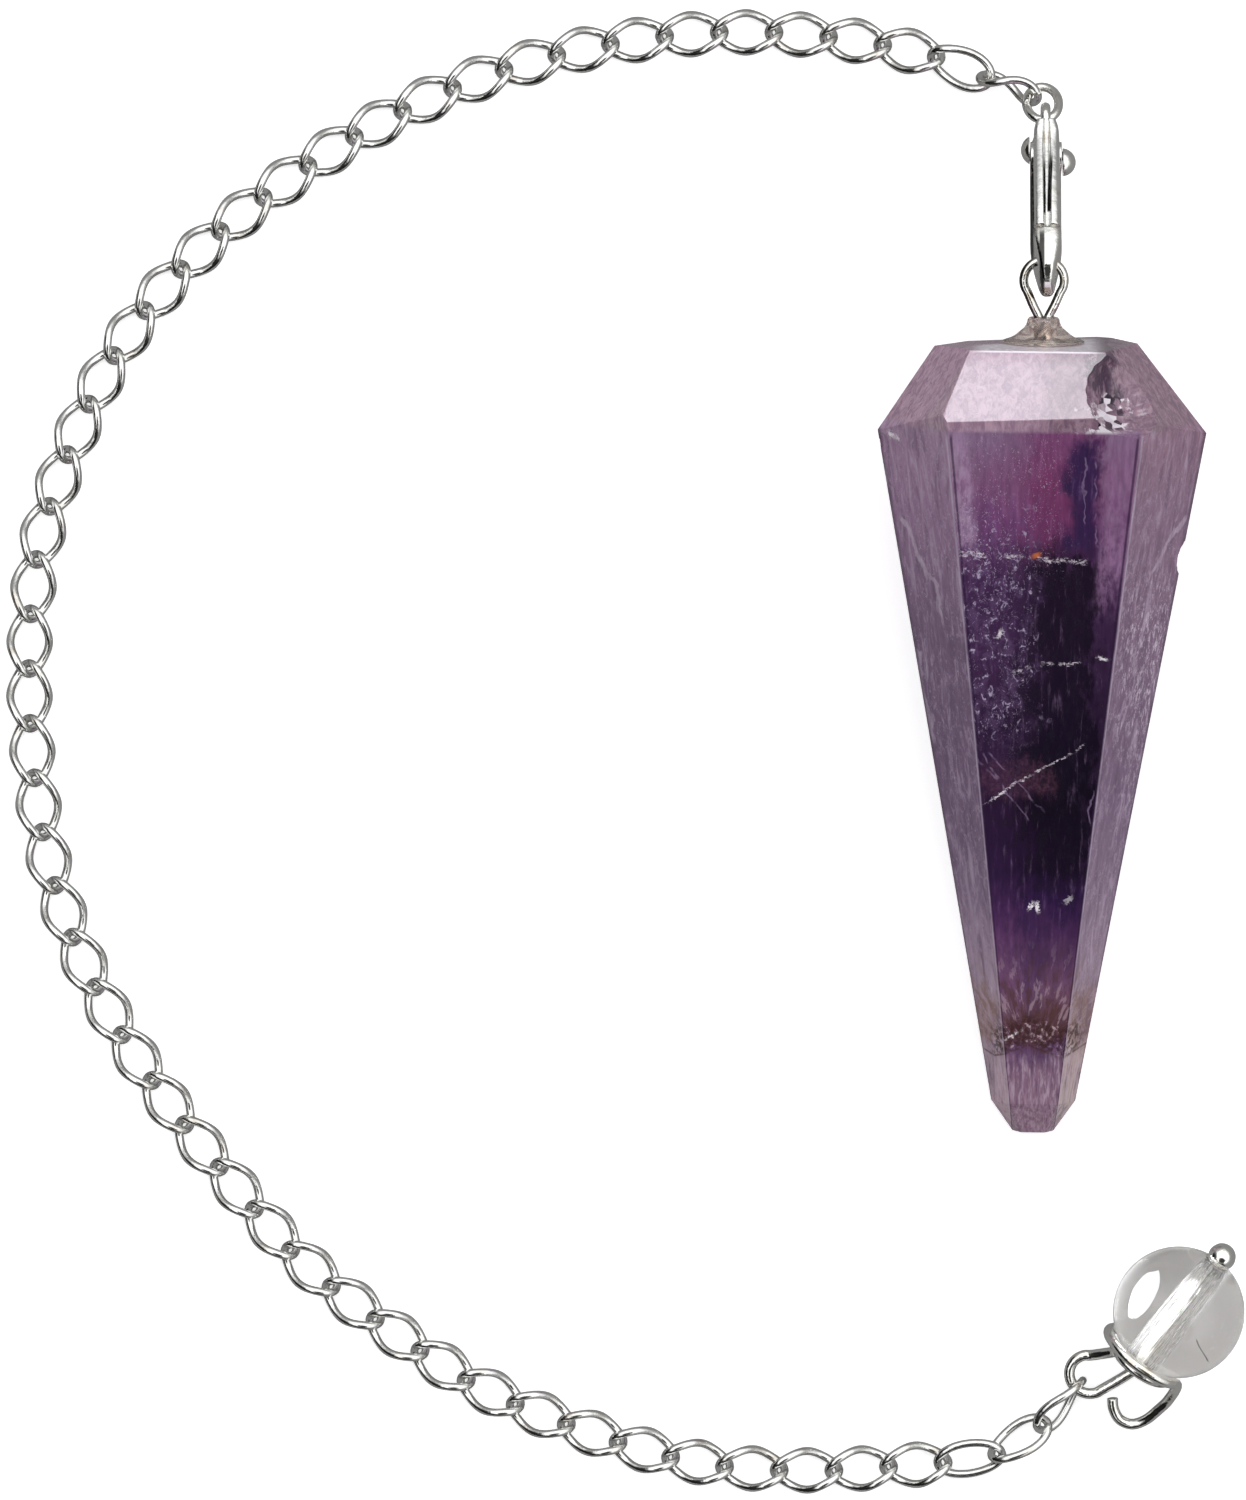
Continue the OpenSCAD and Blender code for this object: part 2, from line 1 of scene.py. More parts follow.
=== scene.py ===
# %% [markdown]
# # A pendulum pendant on a pale table
#
# The real object is a faceted amethyst point on a lobster clasp, with a silvered curb chain that lies in a wide arc
# and ends in a clear quartz bead. Everything is seen from straight above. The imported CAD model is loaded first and
# stays as it is: each piece made here lies where its solid lies and takes its place in the picture.

# %% Load the model
import itertools
import json
import math
import bmesh
import bpy
import mathutils
import numpy as np
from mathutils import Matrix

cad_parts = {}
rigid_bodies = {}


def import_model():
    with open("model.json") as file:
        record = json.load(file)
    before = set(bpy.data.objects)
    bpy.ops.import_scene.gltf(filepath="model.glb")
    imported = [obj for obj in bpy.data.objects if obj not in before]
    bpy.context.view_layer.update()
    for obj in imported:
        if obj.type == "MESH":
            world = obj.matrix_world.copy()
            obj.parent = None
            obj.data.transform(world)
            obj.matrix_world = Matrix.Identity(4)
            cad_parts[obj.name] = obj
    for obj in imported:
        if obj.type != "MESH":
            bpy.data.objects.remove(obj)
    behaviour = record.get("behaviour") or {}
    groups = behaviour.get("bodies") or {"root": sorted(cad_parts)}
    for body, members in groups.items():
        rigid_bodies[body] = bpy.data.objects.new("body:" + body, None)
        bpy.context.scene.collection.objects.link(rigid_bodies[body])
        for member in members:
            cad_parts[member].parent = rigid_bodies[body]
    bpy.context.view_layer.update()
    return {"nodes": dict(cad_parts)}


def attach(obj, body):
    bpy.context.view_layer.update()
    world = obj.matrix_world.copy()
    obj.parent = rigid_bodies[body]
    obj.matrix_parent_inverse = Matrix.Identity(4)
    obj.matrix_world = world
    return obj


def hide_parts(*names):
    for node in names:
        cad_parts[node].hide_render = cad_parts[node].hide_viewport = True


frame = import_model()

# %% [markdown]
# ## The camera
#
# The photograph was taken with a long lens from above, so lines hardly converge. A camera far away with a narrow
# angle gives that look. The picture holds 16.5 pixels to the millimetre, which sets how much the lens sees.

# %% Camera over the table
PICTURE = (1246, 1500)
PIXELS_PER_MM = 16.5
MIDDLE = (-0.1, 0.08)
CAMERA_HEIGHT, SHARP_HEIGHT = 1.2, 0.004
SENSOR = 36.0


def linked(name, data):
    """A new object with this data, put into the scene."""
    thing = bpy.data.objects.new(name, data)
    bpy.context.scene.collection.objects.link(thing)
    return thing


camera_data = bpy.data.cameras.new("camera")
camera = linked("camera", camera_data)
camera.location = (MIDDLE[0] / 1000, MIDDLE[1] / 1000, CAMERA_HEIGHT)
half_view = PICTURE[1] / PIXELS_PER_MM / 2000
camera_data.sensor_width = SENSOR
camera_data.lens = SENSOR / 2 * (CAMERA_HEIGHT - SHARP_HEIGHT) / half_view
camera_data.clip_start = 0.05
camera_data.clip_end = 10.0
bpy.context.scene.camera = camera
print("lens, mm:", round(camera_data.lens, 1))

# %% [markdown]
# ## Curves and tubes
#
# Almost every metal piece here is a wire, which is a circle carried along a path. The circle needs two directions at
# right angles to the path at each point. They are found for all points at once: a fixed direction gives a first
# guess, and the turn between one guess and the next is summed up along the path and taken back out, so that the
# tube's lines don't wind round it.

# %% Smooth curve through points
def smooth_curve(points, steps):
    """Catmull-Rom curve: between b and c it is half of 2b + (c - a)t + (2a - 5b + 4c - d)t^2 + (3b - a - 3c + d)t^3."""
    points = np.asarray(points, float)
    padded = np.vstack([points[:1], points, points[-1:]])
    a, b, c, d = (padded[i:len(padded) - 3 + i, None, :] for i in range(4))
    t = (np.arange(steps) / steps)[None, :, None]
    spans = 0.5 * (2 * b + (c - a) * t + (2 * a - 5 * b + 4 * c - d) * t ** 2 + (3 * b - a - 3 * c + d) * t ** 3)
    return np.vstack([spans.reshape(-1, points.shape[1]), points[-1:]])


def unit(v):
    """Each vector divided by its own length."""
    return v / np.linalg.norm(v, axis=-1, keepdims=True)


def ease(t):
    """Smooth step from 0 to 1: 3 t squared minus 2 t cubed."""
    return t * t * (3 - 2 * t)


def circle(count):
    """Angles of so many points spaced evenly round a circle."""
    return np.arange(count) / count * 2 * np.pi


def spread(*columns):
    """Points out of their three coordinates, each stretched to the same shape."""
    return np.stack(np.broadcast_arrays(*columns), -1)


def smooth_ring(points, steps):
    """The same curve round a closed row of points."""
    points = np.asarray(points, float)
    wrapped = np.vstack([points[-2:], points, points[:3]])
    return smooth_curve(wrapped, steps)[2 * steps:(2 + len(points)) * steps]


def grid_faces(rows, columns, close_rows=False):
    """Two triangles between neighbours of a grid of points: its columns close up, its rows where asked."""
    r = np.arange(rows if close_rows else rows - 1)[:, None]
    c = np.arange(columns)[None, :]
    up, on = (r + 1) % rows, (c + 1) % columns
    here, beside, opposite, above = r * columns + c, r * columns + on, up * columns + on, up * columns + c
    return np.stack([here, beside, opposite, here, opposite, above], -1).reshape(-1, 3)


def ringed(rings, closed=False):
    """A surface through rings of points (row, side, xyz). Open ends close in a fan round the ring's middle."""
    rows, sides = rings.shape[:2]
    faces = grid_faces(rows, sides, closed)
    if closed:
        return rings.reshape(-1, 3), faces
    k, n = np.arange(sides), rows * sides
    first = np.stack([np.full(sides, n), (k + 1) % sides, k], -1)
    last = np.stack([np.full(sides, n + 1), n - sides + k, n - sides + (k + 1) % sides], -1)
    return np.vstack([rings.reshape(-1, 3), rings[[0, -1]].mean(1)]), np.vstack([faces, first, last])


print("curve through 3 points:", smooth_curve([[0, 0, 0], [1, 0, 0], [1, 1, 0]], 2).round(2).tolist())

# %% Wire along a path
def path_sides(path, closed):
    """Direction, side and second side at each point of a path, without twist."""
    if closed:
        along = unit(np.roll(path, -1, 0) - np.roll(path, 1, 0))
    else:
        along = unit(np.gradient(path, axis=0))
    tries = unit(np.array([[0, 0, 1.0], [1, 0.2, 0.1], [0.1, 1, 0.3], [0.6, -0.5, 0.6], [0.5, 0.6, -0.6]]))
    guess = tries[np.argmin([np.abs(along @ t).max() for t in tries])]
    side = unit(guess - (along @ guess)[:, None] * along)
    other = np.cross(along, side)
    carried = side[:-1] - (side[:-1] * along[1:]).sum(1)[:, None] * along[1:]
    turn = np.arctan2((carried * other[1:]).sum(1), (carried * side[1:]).sum(1))
    angle = np.concatenate([[0], np.cumsum(turn)])[:, None]
    return along, np.cos(angle) * side + np.sin(angle) * other, np.cos(angle) * other - np.sin(angle) * side


def wire_surface(path, radii, sides, closed=False):
    """Point at angle b on ring i: path[i] + radius[i] (cos b side + sin b other side)."""
    path = np.asarray(path, float)
    radii = np.broadcast_to(np.asarray(radii, float), len(path))[:, None, None]
    along, side, other = path_sides(path, closed)
    b = circle(sides)[None, :, None]
    return ringed(path[:, None] + radii * (np.cos(b) * side[:, None] + np.sin(b) * other[:, None]), closed)


test_points, test_faces = wire_surface([[0, 0, 0], [1, 0, 0], [2, 1, 0]], 0.2, 8)
print("a short test wire has", len(test_points), "points and", len(test_faces), "faces")

# %% Make a piece from points and faces
def raw_object(name, points, faces):
    """A mesh object whose closed shells all face outwards."""
    mesh = bpy.data.meshes.new(name)
    mesh.from_pydata(np.asarray(points).tolist(), [], np.asarray(faces).tolist())
    shell = bmesh.new()
    shell.from_mesh(mesh)
    bmesh.ops.recalc_face_normals(shell, faces=shell.faces)
    shell.to_mesh(mesh)
    shell.free()
    return linked(name, mesh)


def add_piece(name, surface, material, slot, *nodes, body="root"):
    """A smooth piece, given in millimetres and kept in metres, that rides on a body and stands for its CAD node."""
    points, faces = surface
    piece = raw_object(name, np.asarray(points) / 1000, faces)
    piece.data.polygons.foreach_set("use_smooth", np.ones(len(piece.data.polygons), bool))
    piece.data.materials.append(material)
    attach(piece, body)
    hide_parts(*nodes)
    print(piece.name, "has", len(piece.data.polygons), "faces")
    return piece


print("pieces can be made for", len(frame["nodes"]), "nodes")

# %% Shapes worked out by modifiers
def joined(*shapes):
    """Several shells as one row of points and one of faces."""
    starts = np.cumsum([0] + [len(points) for points, _ in shapes])
    return np.vstack([p for p, _ in shapes]), np.vstack([f + start for (_, f), start in zip(shapes, starts)])


def worked(piece, *steps, cutters=()):
    """Points and triangles of a helper object after its modifiers. Helpers use one unit to the millimetre, and go."""
    for kind, settings in (*steps, ("TRIANGULATE", {})):
        modifier = piece.modifiers.new(kind, kind)
        for key, value in settings.items():
            setattr(modifier, key, value)
    mesh = piece.evaluated_get(bpy.context.evaluated_depsgraph_get()).data
    points, faces = np.empty(len(mesh.vertices) * 3), np.empty(len(mesh.loops), int)
    mesh.vertices.foreach_get("co", points)
    mesh.loops.foreach_get("vertex_index", faces)
    for helper in (piece, *cutters):
        bpy.data.objects.remove(helper)
    return points.reshape(-1, 3), faces.reshape(-1, 3)


test_points, test_faces = joined((test_points, test_faces), (test_points + 3, test_faces))
print("two of them have", len(test_points), "points and", len(test_faces), "faces")

# %% [markdown]
# ## Small helpers for the finishes
#
# A finish is a small network of nodes. Writing each link by hand hides what the finish does. Here the output of a
# node is a field, a value that varies from place to place. Fields can be added, multiplied and passed on in one
# line, and each such step adds the node that does it. The same helpers serve the materials and the sky.

# %% Fields of nodes
def rgb(r, g, b):
    """A colour as seen on screen, from 0 to 255, turned into the linear light that Blender uses."""
    c = np.array([r, g, b]) / 255.0
    return (*np.where(c <= 0.04045, c / 12.92, ((c + 0.055) / 1.055) ** 2.4).tolist(), 1.0)


def fill(node, values):
    """Join each named or numbered socket of the node to a field, or set it to a fixed value."""
    for key, value in values.items():
        if isinstance(value, Field):
            value.tree.links.new(value.socket, node.inputs[key])
        else:
            node.inputs[key].default_value = value


class Field:
    """What a node gives out, and short ways to pass it on through new nodes of the same tree."""

    def __init__(self, tree, socket):
        self.tree, self.socket = tree, socket

    def through(self, kind, values, out=0, **settings):
        """The field that comes out of a new node with these sockets and settings."""
        node = self.tree.nodes.new(kind)
        for key, value in settings.items():
            setattr(node, key, value)
        fill(node, values)
        return Field(self.tree, node.outputs[out])

    def math(self, operation, *others):
        """The field and other values through one Math node."""
        return self.through("ShaderNodeMath", dict(enumerate((self, *others))), operation=operation)

    def __add__(self, other):
        return self.math("ADD", other)

    def __sub__(self, other):
        return self.math("SUBTRACT", other)

    def __mul__(self, other):
        return self.math("MULTIPLY", other)

    def __truediv__(self, other):
        return self.math("DIVIDE", other)

    def __abs__(self):
        return self.math("ABSOLUTE")

    def span(self, low, high, to_low=0.0, to_high=1.0):
        """Smooth step from to_low, where the field is at low, to to_high, where it is at high."""
        return self.through("ShaderNodeMapRange", {0: self, 1: low, 2: high, 3: to_low, 4: to_high},
                            interpolation_type="SMOOTHSTEP")

    def fade(self, low, high):
        """1 up to low, and 0 from high on."""
        return self.span(low, high, 1.0, 0.0)

    def between(self, low, high, soft):
        """1 from low to high, with soft ends."""
        return self.span(low - soft, low + soft) * self.fade(high - soft, high + soft)

    def near(self, middle, inner, outer):
        """1 within inner of a middle value, and 0 beyond outer."""
        return abs(self - middle).fade(inner, outer)

    def swayed(self, noise, reach):
        """The field moved up or down by a noise, by as much as reach."""
        return self + noise.span(0.3, 0.7, -reach, reach)

    def blend(self, a, b):
        """Colour a where the field is 0 and b where it is 1. Fixed colours are given as seen on screen."""
        a, b = (colour if isinstance(colour, Field) else rgb(*colour) for colour in (a, b))
        return self.through("ShaderNodeMix", {0: self, 6: a, 7: b}, out=2, data_type="RGBA")

    def noise(self, scale, detail=3.0, rough=0.55, warp=0.0):
        """Noise at a place, finer with scale and detail."""
        return self.through("ShaderNodeTexNoise", {"Vector": self, "Scale": scale, "Detail": detail,
                                                   "Roughness": rough, "Distortion": warp}, out="Fac")

    def cells(self, scale, out):
        """Distance to, or colour of, the nearest of many scattered points."""
        return self.through("ShaderNodeTexVoronoi", {"Vector": self, "Scale": scale}, out=out)

    def moved(self, turn=0.0, scale=(1, 1, 1)):
        """A place stretched along each axis and turned, about z or by three angles, so that a pattern on it changes."""
        turn = turn if isinstance(turn, tuple) else (0.0, 0.0, turn)
        return self.through("ShaderNodeMapping", {"Vector": self, "Rotation": turn, "Scale": scale})

    def measured(self, origin, turn):
        """A place in millimetres from an origin, along axes turned by three angles."""
        return self.through("ShaderNodeMapping", {"Vector": self, "Location": tuple(origin / 1000), "Rotation": turn,
                                                  "Scale": (0.001, 0.001, 0.001)}, vector_type="TEXTURE")

    def axes(self):
        """A place's x, y and z."""
        parted = self.through("ShaderNodeSeparateXYZ", {"Vector": self}).socket.node
        return [Field(self.tree, socket) for socket in parted.outputs]

    def bump(self, distance):
        """Surface direction, tilted as the field's slope tilts it."""
        return self.through("ShaderNodeBump", {"Height": self, "Distance": distance, "Strength": 1.0})


class Finish:
    """A material with one Principled shader, and the place on its piece."""

    def __init__(self, name, **values):
        self.material = bpy.data.materials.new(name)
        self.material.use_nodes = True
        self.tree = self.material.node_tree
        self.shader = next(n for n in self.tree.nodes if n.type == "BSDF_PRINCIPLED")
        self.coordinates = self.tree.nodes.new("ShaderNodeTexCoord").outputs
        self.place = Field(self.tree, self.coordinates["Object"])
        self.set(**values)

    def set(self, **values):
        """Fill the shader's sockets, whose names are written with _ for each space."""
        fill(self.shader, {key.replace("_", " "): value for key, value in values.items()})


print("mid purple as light:", np.round(rgb(90, 60, 100)[:3], 3).tolist())

# %% [markdown]
# ## Silvered metal
#
# The findings are plated brass or steel: a mirror-like skin with faint polishing lines, softer patches where fingers
# have been, and a little yellow or brown tarnish. Noise at two scales moves the roughness and the tint, and a very
# shallow bump keeps the reflections from being perfect.

# %% Silver finish
def silver_finish(name, tint, tarnish_and_shade, rough_low, rough_high, dent):
    """A finish whose tint, polish and shallow dents follow noise at three scales."""
    metal = Finish(name, Metallic=1.0)
    soft, fine = metal.place.noise(900.0, 4.0), metal.place.noise(6000.0)
    lines = metal.place.moved((0.3, 0.2, 0.7), (1.0, 0.08, 1.0)).noise(20000.0, 2.0)
    metal.tint = soft.span(0.52, 0.78, 0.0, 0.8).blend(tint, tarnish_and_shade)
    metal.set(Base_Color=metal.tint, Roughness=(soft + lines * 0.25).span(0.4, 0.95, rough_low, rough_high),
              Normal=(soft + fine * 0.12).bump(dent))
    return metal


def bright_finish(name):
    """The brightest silver, for the eye, the claw, the ring and the pins."""
    return silver_finish(name, (245, 244, 240), (214, 200, 178), 0.04, 0.16, 0.00006)


silver = silver_finish("silver", (236, 236, 234), (196, 187, 174), 0.05, 0.20, 0.00004).material
bright_silver = bright_finish("bright_silver").material
print("silver finishes:", silver.name, bright_silver.name)

# %% [markdown]
# ## The chain
#
# A curb link is an oval of wire whose two ends are twisted out of flat, so that each link lies half over the next.
# A real chain would be bent link by link. Here all links are worked out at once: joints are spaced along the arc, and
# each link is an oval between two joints whose width direction turns from one end to the other.

# %% Where the pieces hang
HITCH = np.array([25.5, 38.28, 4.4])
RING_SLOPE, RING_TURN, RING_WIRE, RING_LENGTH, RING_WIDTH = math.radians(44), math.radians(9), 0.55, 3.4, 2.5
ring_down = np.array([-math.sin(RING_TURN) * math.cos(RING_SLOPE), math.cos(RING_TURN) * math.cos(RING_SLOPE),
                      -math.sin(RING_SLOPE)])
ring_side = np.array([math.cos(RING_TURN), math.sin(RING_TURN), 0])
ring_half = (RING_LENGTH - RING_WIRE) / 2
ring_middle = HITCH + ring_half * ring_down


def on_ring(degrees):
    """Oval: middle + half length cos a down + half width sin a sideways."""
    a = np.radians(np.atleast_1d(degrees))[:, None]
    return ring_middle + ring_half * np.cos(a) * ring_down + (RING_WIDTH - RING_WIRE) / 2 * np.sin(a) * ring_side


BEAD_RADIUS, BEAD_BORE, PIN_WIRE, PIN_BALL, PIN_LOOP = 4.0, 1.4, 0.66, 1.7, 3.1
HOLD = np.array([28.2, -37.82])
heading, dip = math.radians(232.8), math.radians(18)
pin_along = np.array([math.cos(heading) * math.cos(dip), math.sin(heading) * math.cos(dip), -math.sin(dip)])
pin_left = np.array([-math.sin(heading), math.cos(heading), 0])
pin_up = np.cross(pin_along, pin_left)
loop_radius = (PIN_LOOP - PIN_WIRE) / 2
loop_place = np.array([BEAD_RADIUS + 2.15 * loop_radius, -1.62 * loop_radius])
bead_middle = np.append(HOLD - loop_place[0] * pin_along[:2] - loop_place[1] * pin_left[:2], BEAD_RADIUS)


def from_bead(p):
    """Point p = (along the pin, to its left, up), measured from the bead's middle."""
    p = np.asarray(p, float)
    return bead_middle + p[..., :1] * pin_along + p[..., 1:2] * pin_left + p[..., 2:3] * pin_up


print("bead's middle:", bead_middle.round(2).tolist(), "ring's middle:", ring_middle.round(2).tolist())

# %% Route and joints of the chain
PITCH, LINK_WIDTH, LINK_WIRE, TWIST, PLAY = 3.3, 2.85, 0.5, 45.0, 0.17
ROUTE = [
    (22.5, 40.68, 0.9), (18.6, 42.28, 0.1), (11.9, 43.48, 0.03), (5.2, 43.68, 0), (-1.5, 42.88, 0), (-8.1, 41.18, 0),
    (-14.4, 38.48, 0), (-20.3, 34.88, 0), (-25.8, 30.48, 0), (-30.4, 25.08, 0), (-33.6, 18.68, 0), (-35.7, 11.88, 0),
    (-36.2, 4.88, 0), (-35.8, -2.12, 0), (-34.4, -8.92, 0), (-31.7, -15.22, 0), (-28, -21.02, 0), (-24, -26.02, 0),
    (-19.6, -31.02, 0), (-14.3, -35.12, 0), (-8.7, -38.72, 0), (-2.3, -41.32, 0), (4.3, -43.22, 0),
    (11.3, -43.72, 0.02), (17.9, -43.32, 0.06), (21.7, -42.92, 0.5), (24.6, -41.62, 0.5)]
FIRST_TURNS = [(131, 61), (-16, -47)]
LAST_TURNS = [(35, 39), (-55, -35), (48, 89)]


def link_oval(half, turn_in, turn_out, a):
    """Oval of a link: half cos a along, w = half width sin a turned out of flat by an angle that eases end to end."""
    w = (LINK_WIDTH - LINK_WIRE) / 2 * np.sin(a)
    turn = np.radians(turn_in + (turn_out - turn_in) * ease((1 + np.cos(a)) / 2))
    return spread(half * np.cos(a), w * np.cos(turn), w * np.sin(turn))


rise = link_oval((PITCH + LINK_WIRE + PLAY) / 2, TWIST, -TWIST, np.arange(16) / 8 * np.pi)[:, 2].max() + LINK_WIRE / 2
surface = np.array(ROUTE) + [0, 0, rise]
ring_held = on_ring(-43)[0]
hold = math.radians(-6)
loop_held = from_bead([loop_place[0] + loop_radius * math.cos(hold), loop_place[1] + loop_radius * math.sin(hold), 0])
first_joint = ring_held - (RING_WIRE + LINK_WIRE) / 4 * unit(surface[0] - ring_held)
last_joint = loop_held + (PIN_WIRE + LINK_WIRE) / 4 * unit(loop_held - surface[-1])
route = smooth_curve(np.vstack([first_joint, surface, last_joint]), 8)
run = np.concatenate([[0], np.cumsum(np.linalg.norm(np.diff(route, axis=0), axis=1))])
link_count = round(run[-1] / PITCH)
stops = np.linspace(0, run[-1], link_count + 1)
joints = np.stack([np.interp(stops, run, route[:, axis]) for axis in range(3)], -1)
print("the chain runs", run[-1].round(1), "mm with", link_count, "links")

# %% All links at once
def chain_surface(around, section):
    """Rings of every link: oval point + wire radius (cos b outwards + sin b across)."""
    start, end = joints[:-1], joints[1:]
    turns = np.tile([TWIST, -TWIST], (link_count, 1)).astype(float)
    turns[:len(FIRST_TURNS)] = FIRST_TURNS
    turns[-len(LAST_TURNS):] = LAST_TURNS
    middle, length = (start + end) / 2, np.linalg.norm(end - start, axis=1)
    along = unit(end - start)
    left = unit(np.cross([0, 0, 1.0], along))
    up = np.cross(along, left)
    oval = link_oval((length[:, None] + LINK_WIRE + PLAY) / 2, turns[:, :1], turns[:, 1:], circle(around)[None, :])
    path = (middle[:, None] + oval[..., :1] * along[:, None] + oval[..., 1:2] * left[:, None]
            + oval[..., 2:] * up[:, None])
    ahead = unit(np.roll(path, -1, 1) - np.roll(path, 1, 1))
    out = path - middle[:, None]
    side = unit(out - (out * ahead).sum(-1, keepdims=True) * ahead)
    across = np.cross(ahead, side)
    b = circle(section)[None, None, :, None]
    rings = path[:, :, None] + LINK_WIRE / 2 * (np.cos(b) * side[:, :, None] + np.sin(b) * across[:, :, None])
    one = grid_faces(around, section, True)
    faces = (np.arange(link_count)[:, None, None] * around * section + one[None]).reshape(-1, 3)
    return rings.reshape(-1, 3), faces


add_piece("chain_links", chain_surface(64, 14), silver, "silver", "chain")

# %% [markdown]
# ## Jump ring, eye and head pin
#
# These are bent by hand from wire. Each is a path of a few chosen points with a smooth curve through them, and the
# tube helper gives it its thickness.

# %% Jump ring
WIRE_SIDES = 20
ring_surface = wire_surface(on_ring(np.arange(0, 360, 5)), RING_WIRE / 2, WIRE_SIDES, closed=True)
add_piece("jump_ring_wire", ring_surface, bright_silver, "silver", "jump_ring")

# %% Head pin: ball, run through the bead, loop, wraps and curled tail
WRAP_START, WRAP_TURN, WRAP_INNER, WRAP_OUTER = 150, 480, 0.425, 0.74
PIN_NECK = [(0.9, -0.1, 0), (0.61, -1.6, 0.31)]
PIN_TAIL = [(0.49, 2.25, 0.61), (1.31, 2.17, 0.33), (2.21, 2, 0.08), (2.87, 1.6, 0), (3.07, 0.98, 0), (2.83, 0.41, 0),
            (2.42, 0.04, 0)]


def head_pin_path():
    """Points and radii along the pin: ball rings, straight run, loop, a coil on the bead's shoulder, tail."""
    ball, bore = PIN_BALL / 2, BEAD_BORE / 2
    ball_at = -math.sqrt(BEAD_RADIUS ** 2 - bore ** 2) - 0.05 - math.sqrt(ball ** 2 - bore ** 2)
    on_ball = np.radians(np.arange(6, 150, 9))
    ball_path = spread(ball_at - ball * np.cos(on_ball), 0, 0)
    a = np.radians(np.arange(78, -151, -19))
    loop = spread(loop_place[0] + loop_radius * np.cos(a), loop_place[1] + loop_radius * np.sin(a), 0)
    shell = BEAD_RADIUS + PIN_WIRE / 2 + 0.1
    turn = np.arange(WRAP_START, WRAP_START - WRAP_TURN - 1, -20)
    r = BEAD_RADIUS * (WRAP_INNER + (WRAP_OUTER - WRAP_INNER) * ease((WRAP_START - turn) / WRAP_TURN))
    wraps = spread(np.sqrt(shell ** 2 - r ** 2), r * np.cos(np.radians(turn)), r * np.sin(np.radians(turn)))
    bent = np.array([PIN_NECK + PIN_TAIL]).reshape(-1, 3) * loop_radius + [BEAD_RADIUS, 0, 0]
    straight = [[ball_at + ball, 0, 0], [0, 0, 0], [BEAD_RADIUS + 0.2, 0, 0]]
    thin = smooth_curve(np.vstack([straight, bent[:1], loop, bent[1:2], wraps, bent[2:]]), 6)
    ball_radii = ball * np.sin(on_ball)
    return from_bead(np.vstack([ball_path, thin])), np.concatenate([ball_radii, np.full(len(thin), PIN_WIRE / 2)])


add_piece("head_pin_wire", wire_surface(*head_pin_path(), WIRE_SIDES), bright_silver, "silver", "head_pin")

# %% [markdown]
# ## The stone's own directions
#
# The stone lies on its back facet, so its axis rises towards the table. Its measures are the same as in the CAD
# source, and a helper turns a point across, towards the front and along the axis into a place on the table.

# %% Stone measures
STONE_WIDTH, STONE_DEPTH, FACET_WIDTH, TAPER, TIP_WIDTH, TIP_LENGTH = 19.9, 14.2, 11.5, 41.2, 5.0, 1.5
CROWN, CROWN_EXTRA, TABLE_WIDTH, EYE_WIRE, EYE_WIDTH, EYE_HEIGHT, SHANK = 5.4, 1.8, 12.1, 0.55, 3.0, 5.3, 4.5
CLASP_LENGTH, CLASP_THICK, CLAW_WIDTH, EYELET_WIRE = 13.0, 1.9, 4.0, 0.6
COLLAR_WIDTH, COLLAR_HEIGHT, GAP = 5.0, 1.5, 0.05
STONE_TURN, EYE_SHIFT, NOSE_SHARE, EYELET_PLAY = math.radians(-0.6), -0.16, 0.155, 0.35
half_wide, half_deep = STONE_WIDTH / 2, STONE_DEPTH / 2
tip_share, table_share = TIP_WIDTH / STONE_WIDTH, TABLE_WIDTH / STONE_WIDTH
stone_rise = math.atan(half_deep * (1 - tip_share) / TAPER)
eye_top = CROWN + EYE_HEIGHT - EYE_WIRE / 2
eye_height = half_deep * math.cos(stone_rise) + eye_top * math.sin(stone_rise)
eyelet_bore = RING_WIRE + EYELET_PLAY
eyelet_u = eyelet_bore / 2 + EYELET_WIRE
clasp_reach = CLASP_LENGTH * (1 - NOSE_SHARE) - EYE_WIRE / 2 - PLAY - eyelet_u
clasp_slope = math.asin((eye_height - HITCH[2]) / clasp_reach)
eye_place = HITCH + [EYE_SHIFT, -clasp_reach * math.cos(clasp_slope), eye_height - HITCH[2]]
stone_across = np.array([math.cos(STONE_TURN), math.sin(STONE_TURN), 0])
stone_along = np.array([-math.sin(STONE_TURN) * math.cos(stone_rise), math.cos(STONE_TURN) * math.cos(stone_rise),
                        math.sin(stone_rise)])
stone_front = np.cross(stone_across, stone_along)
girdle = eye_place - eye_top * stone_along


def from_stone(p):
    """Point p = (across, towards the front, along the axis), measured from the middle of the girdle."""
    p = np.asarray(p, float)
    return girdle + p[..., :1] * stone_across + p[..., 1:2] * stone_front + p[..., 2:3] * stone_along


print("girdle at", girdle.round(2).tolist(), "slope of the clasp", round(math.degrees(clasp_slope), 1))

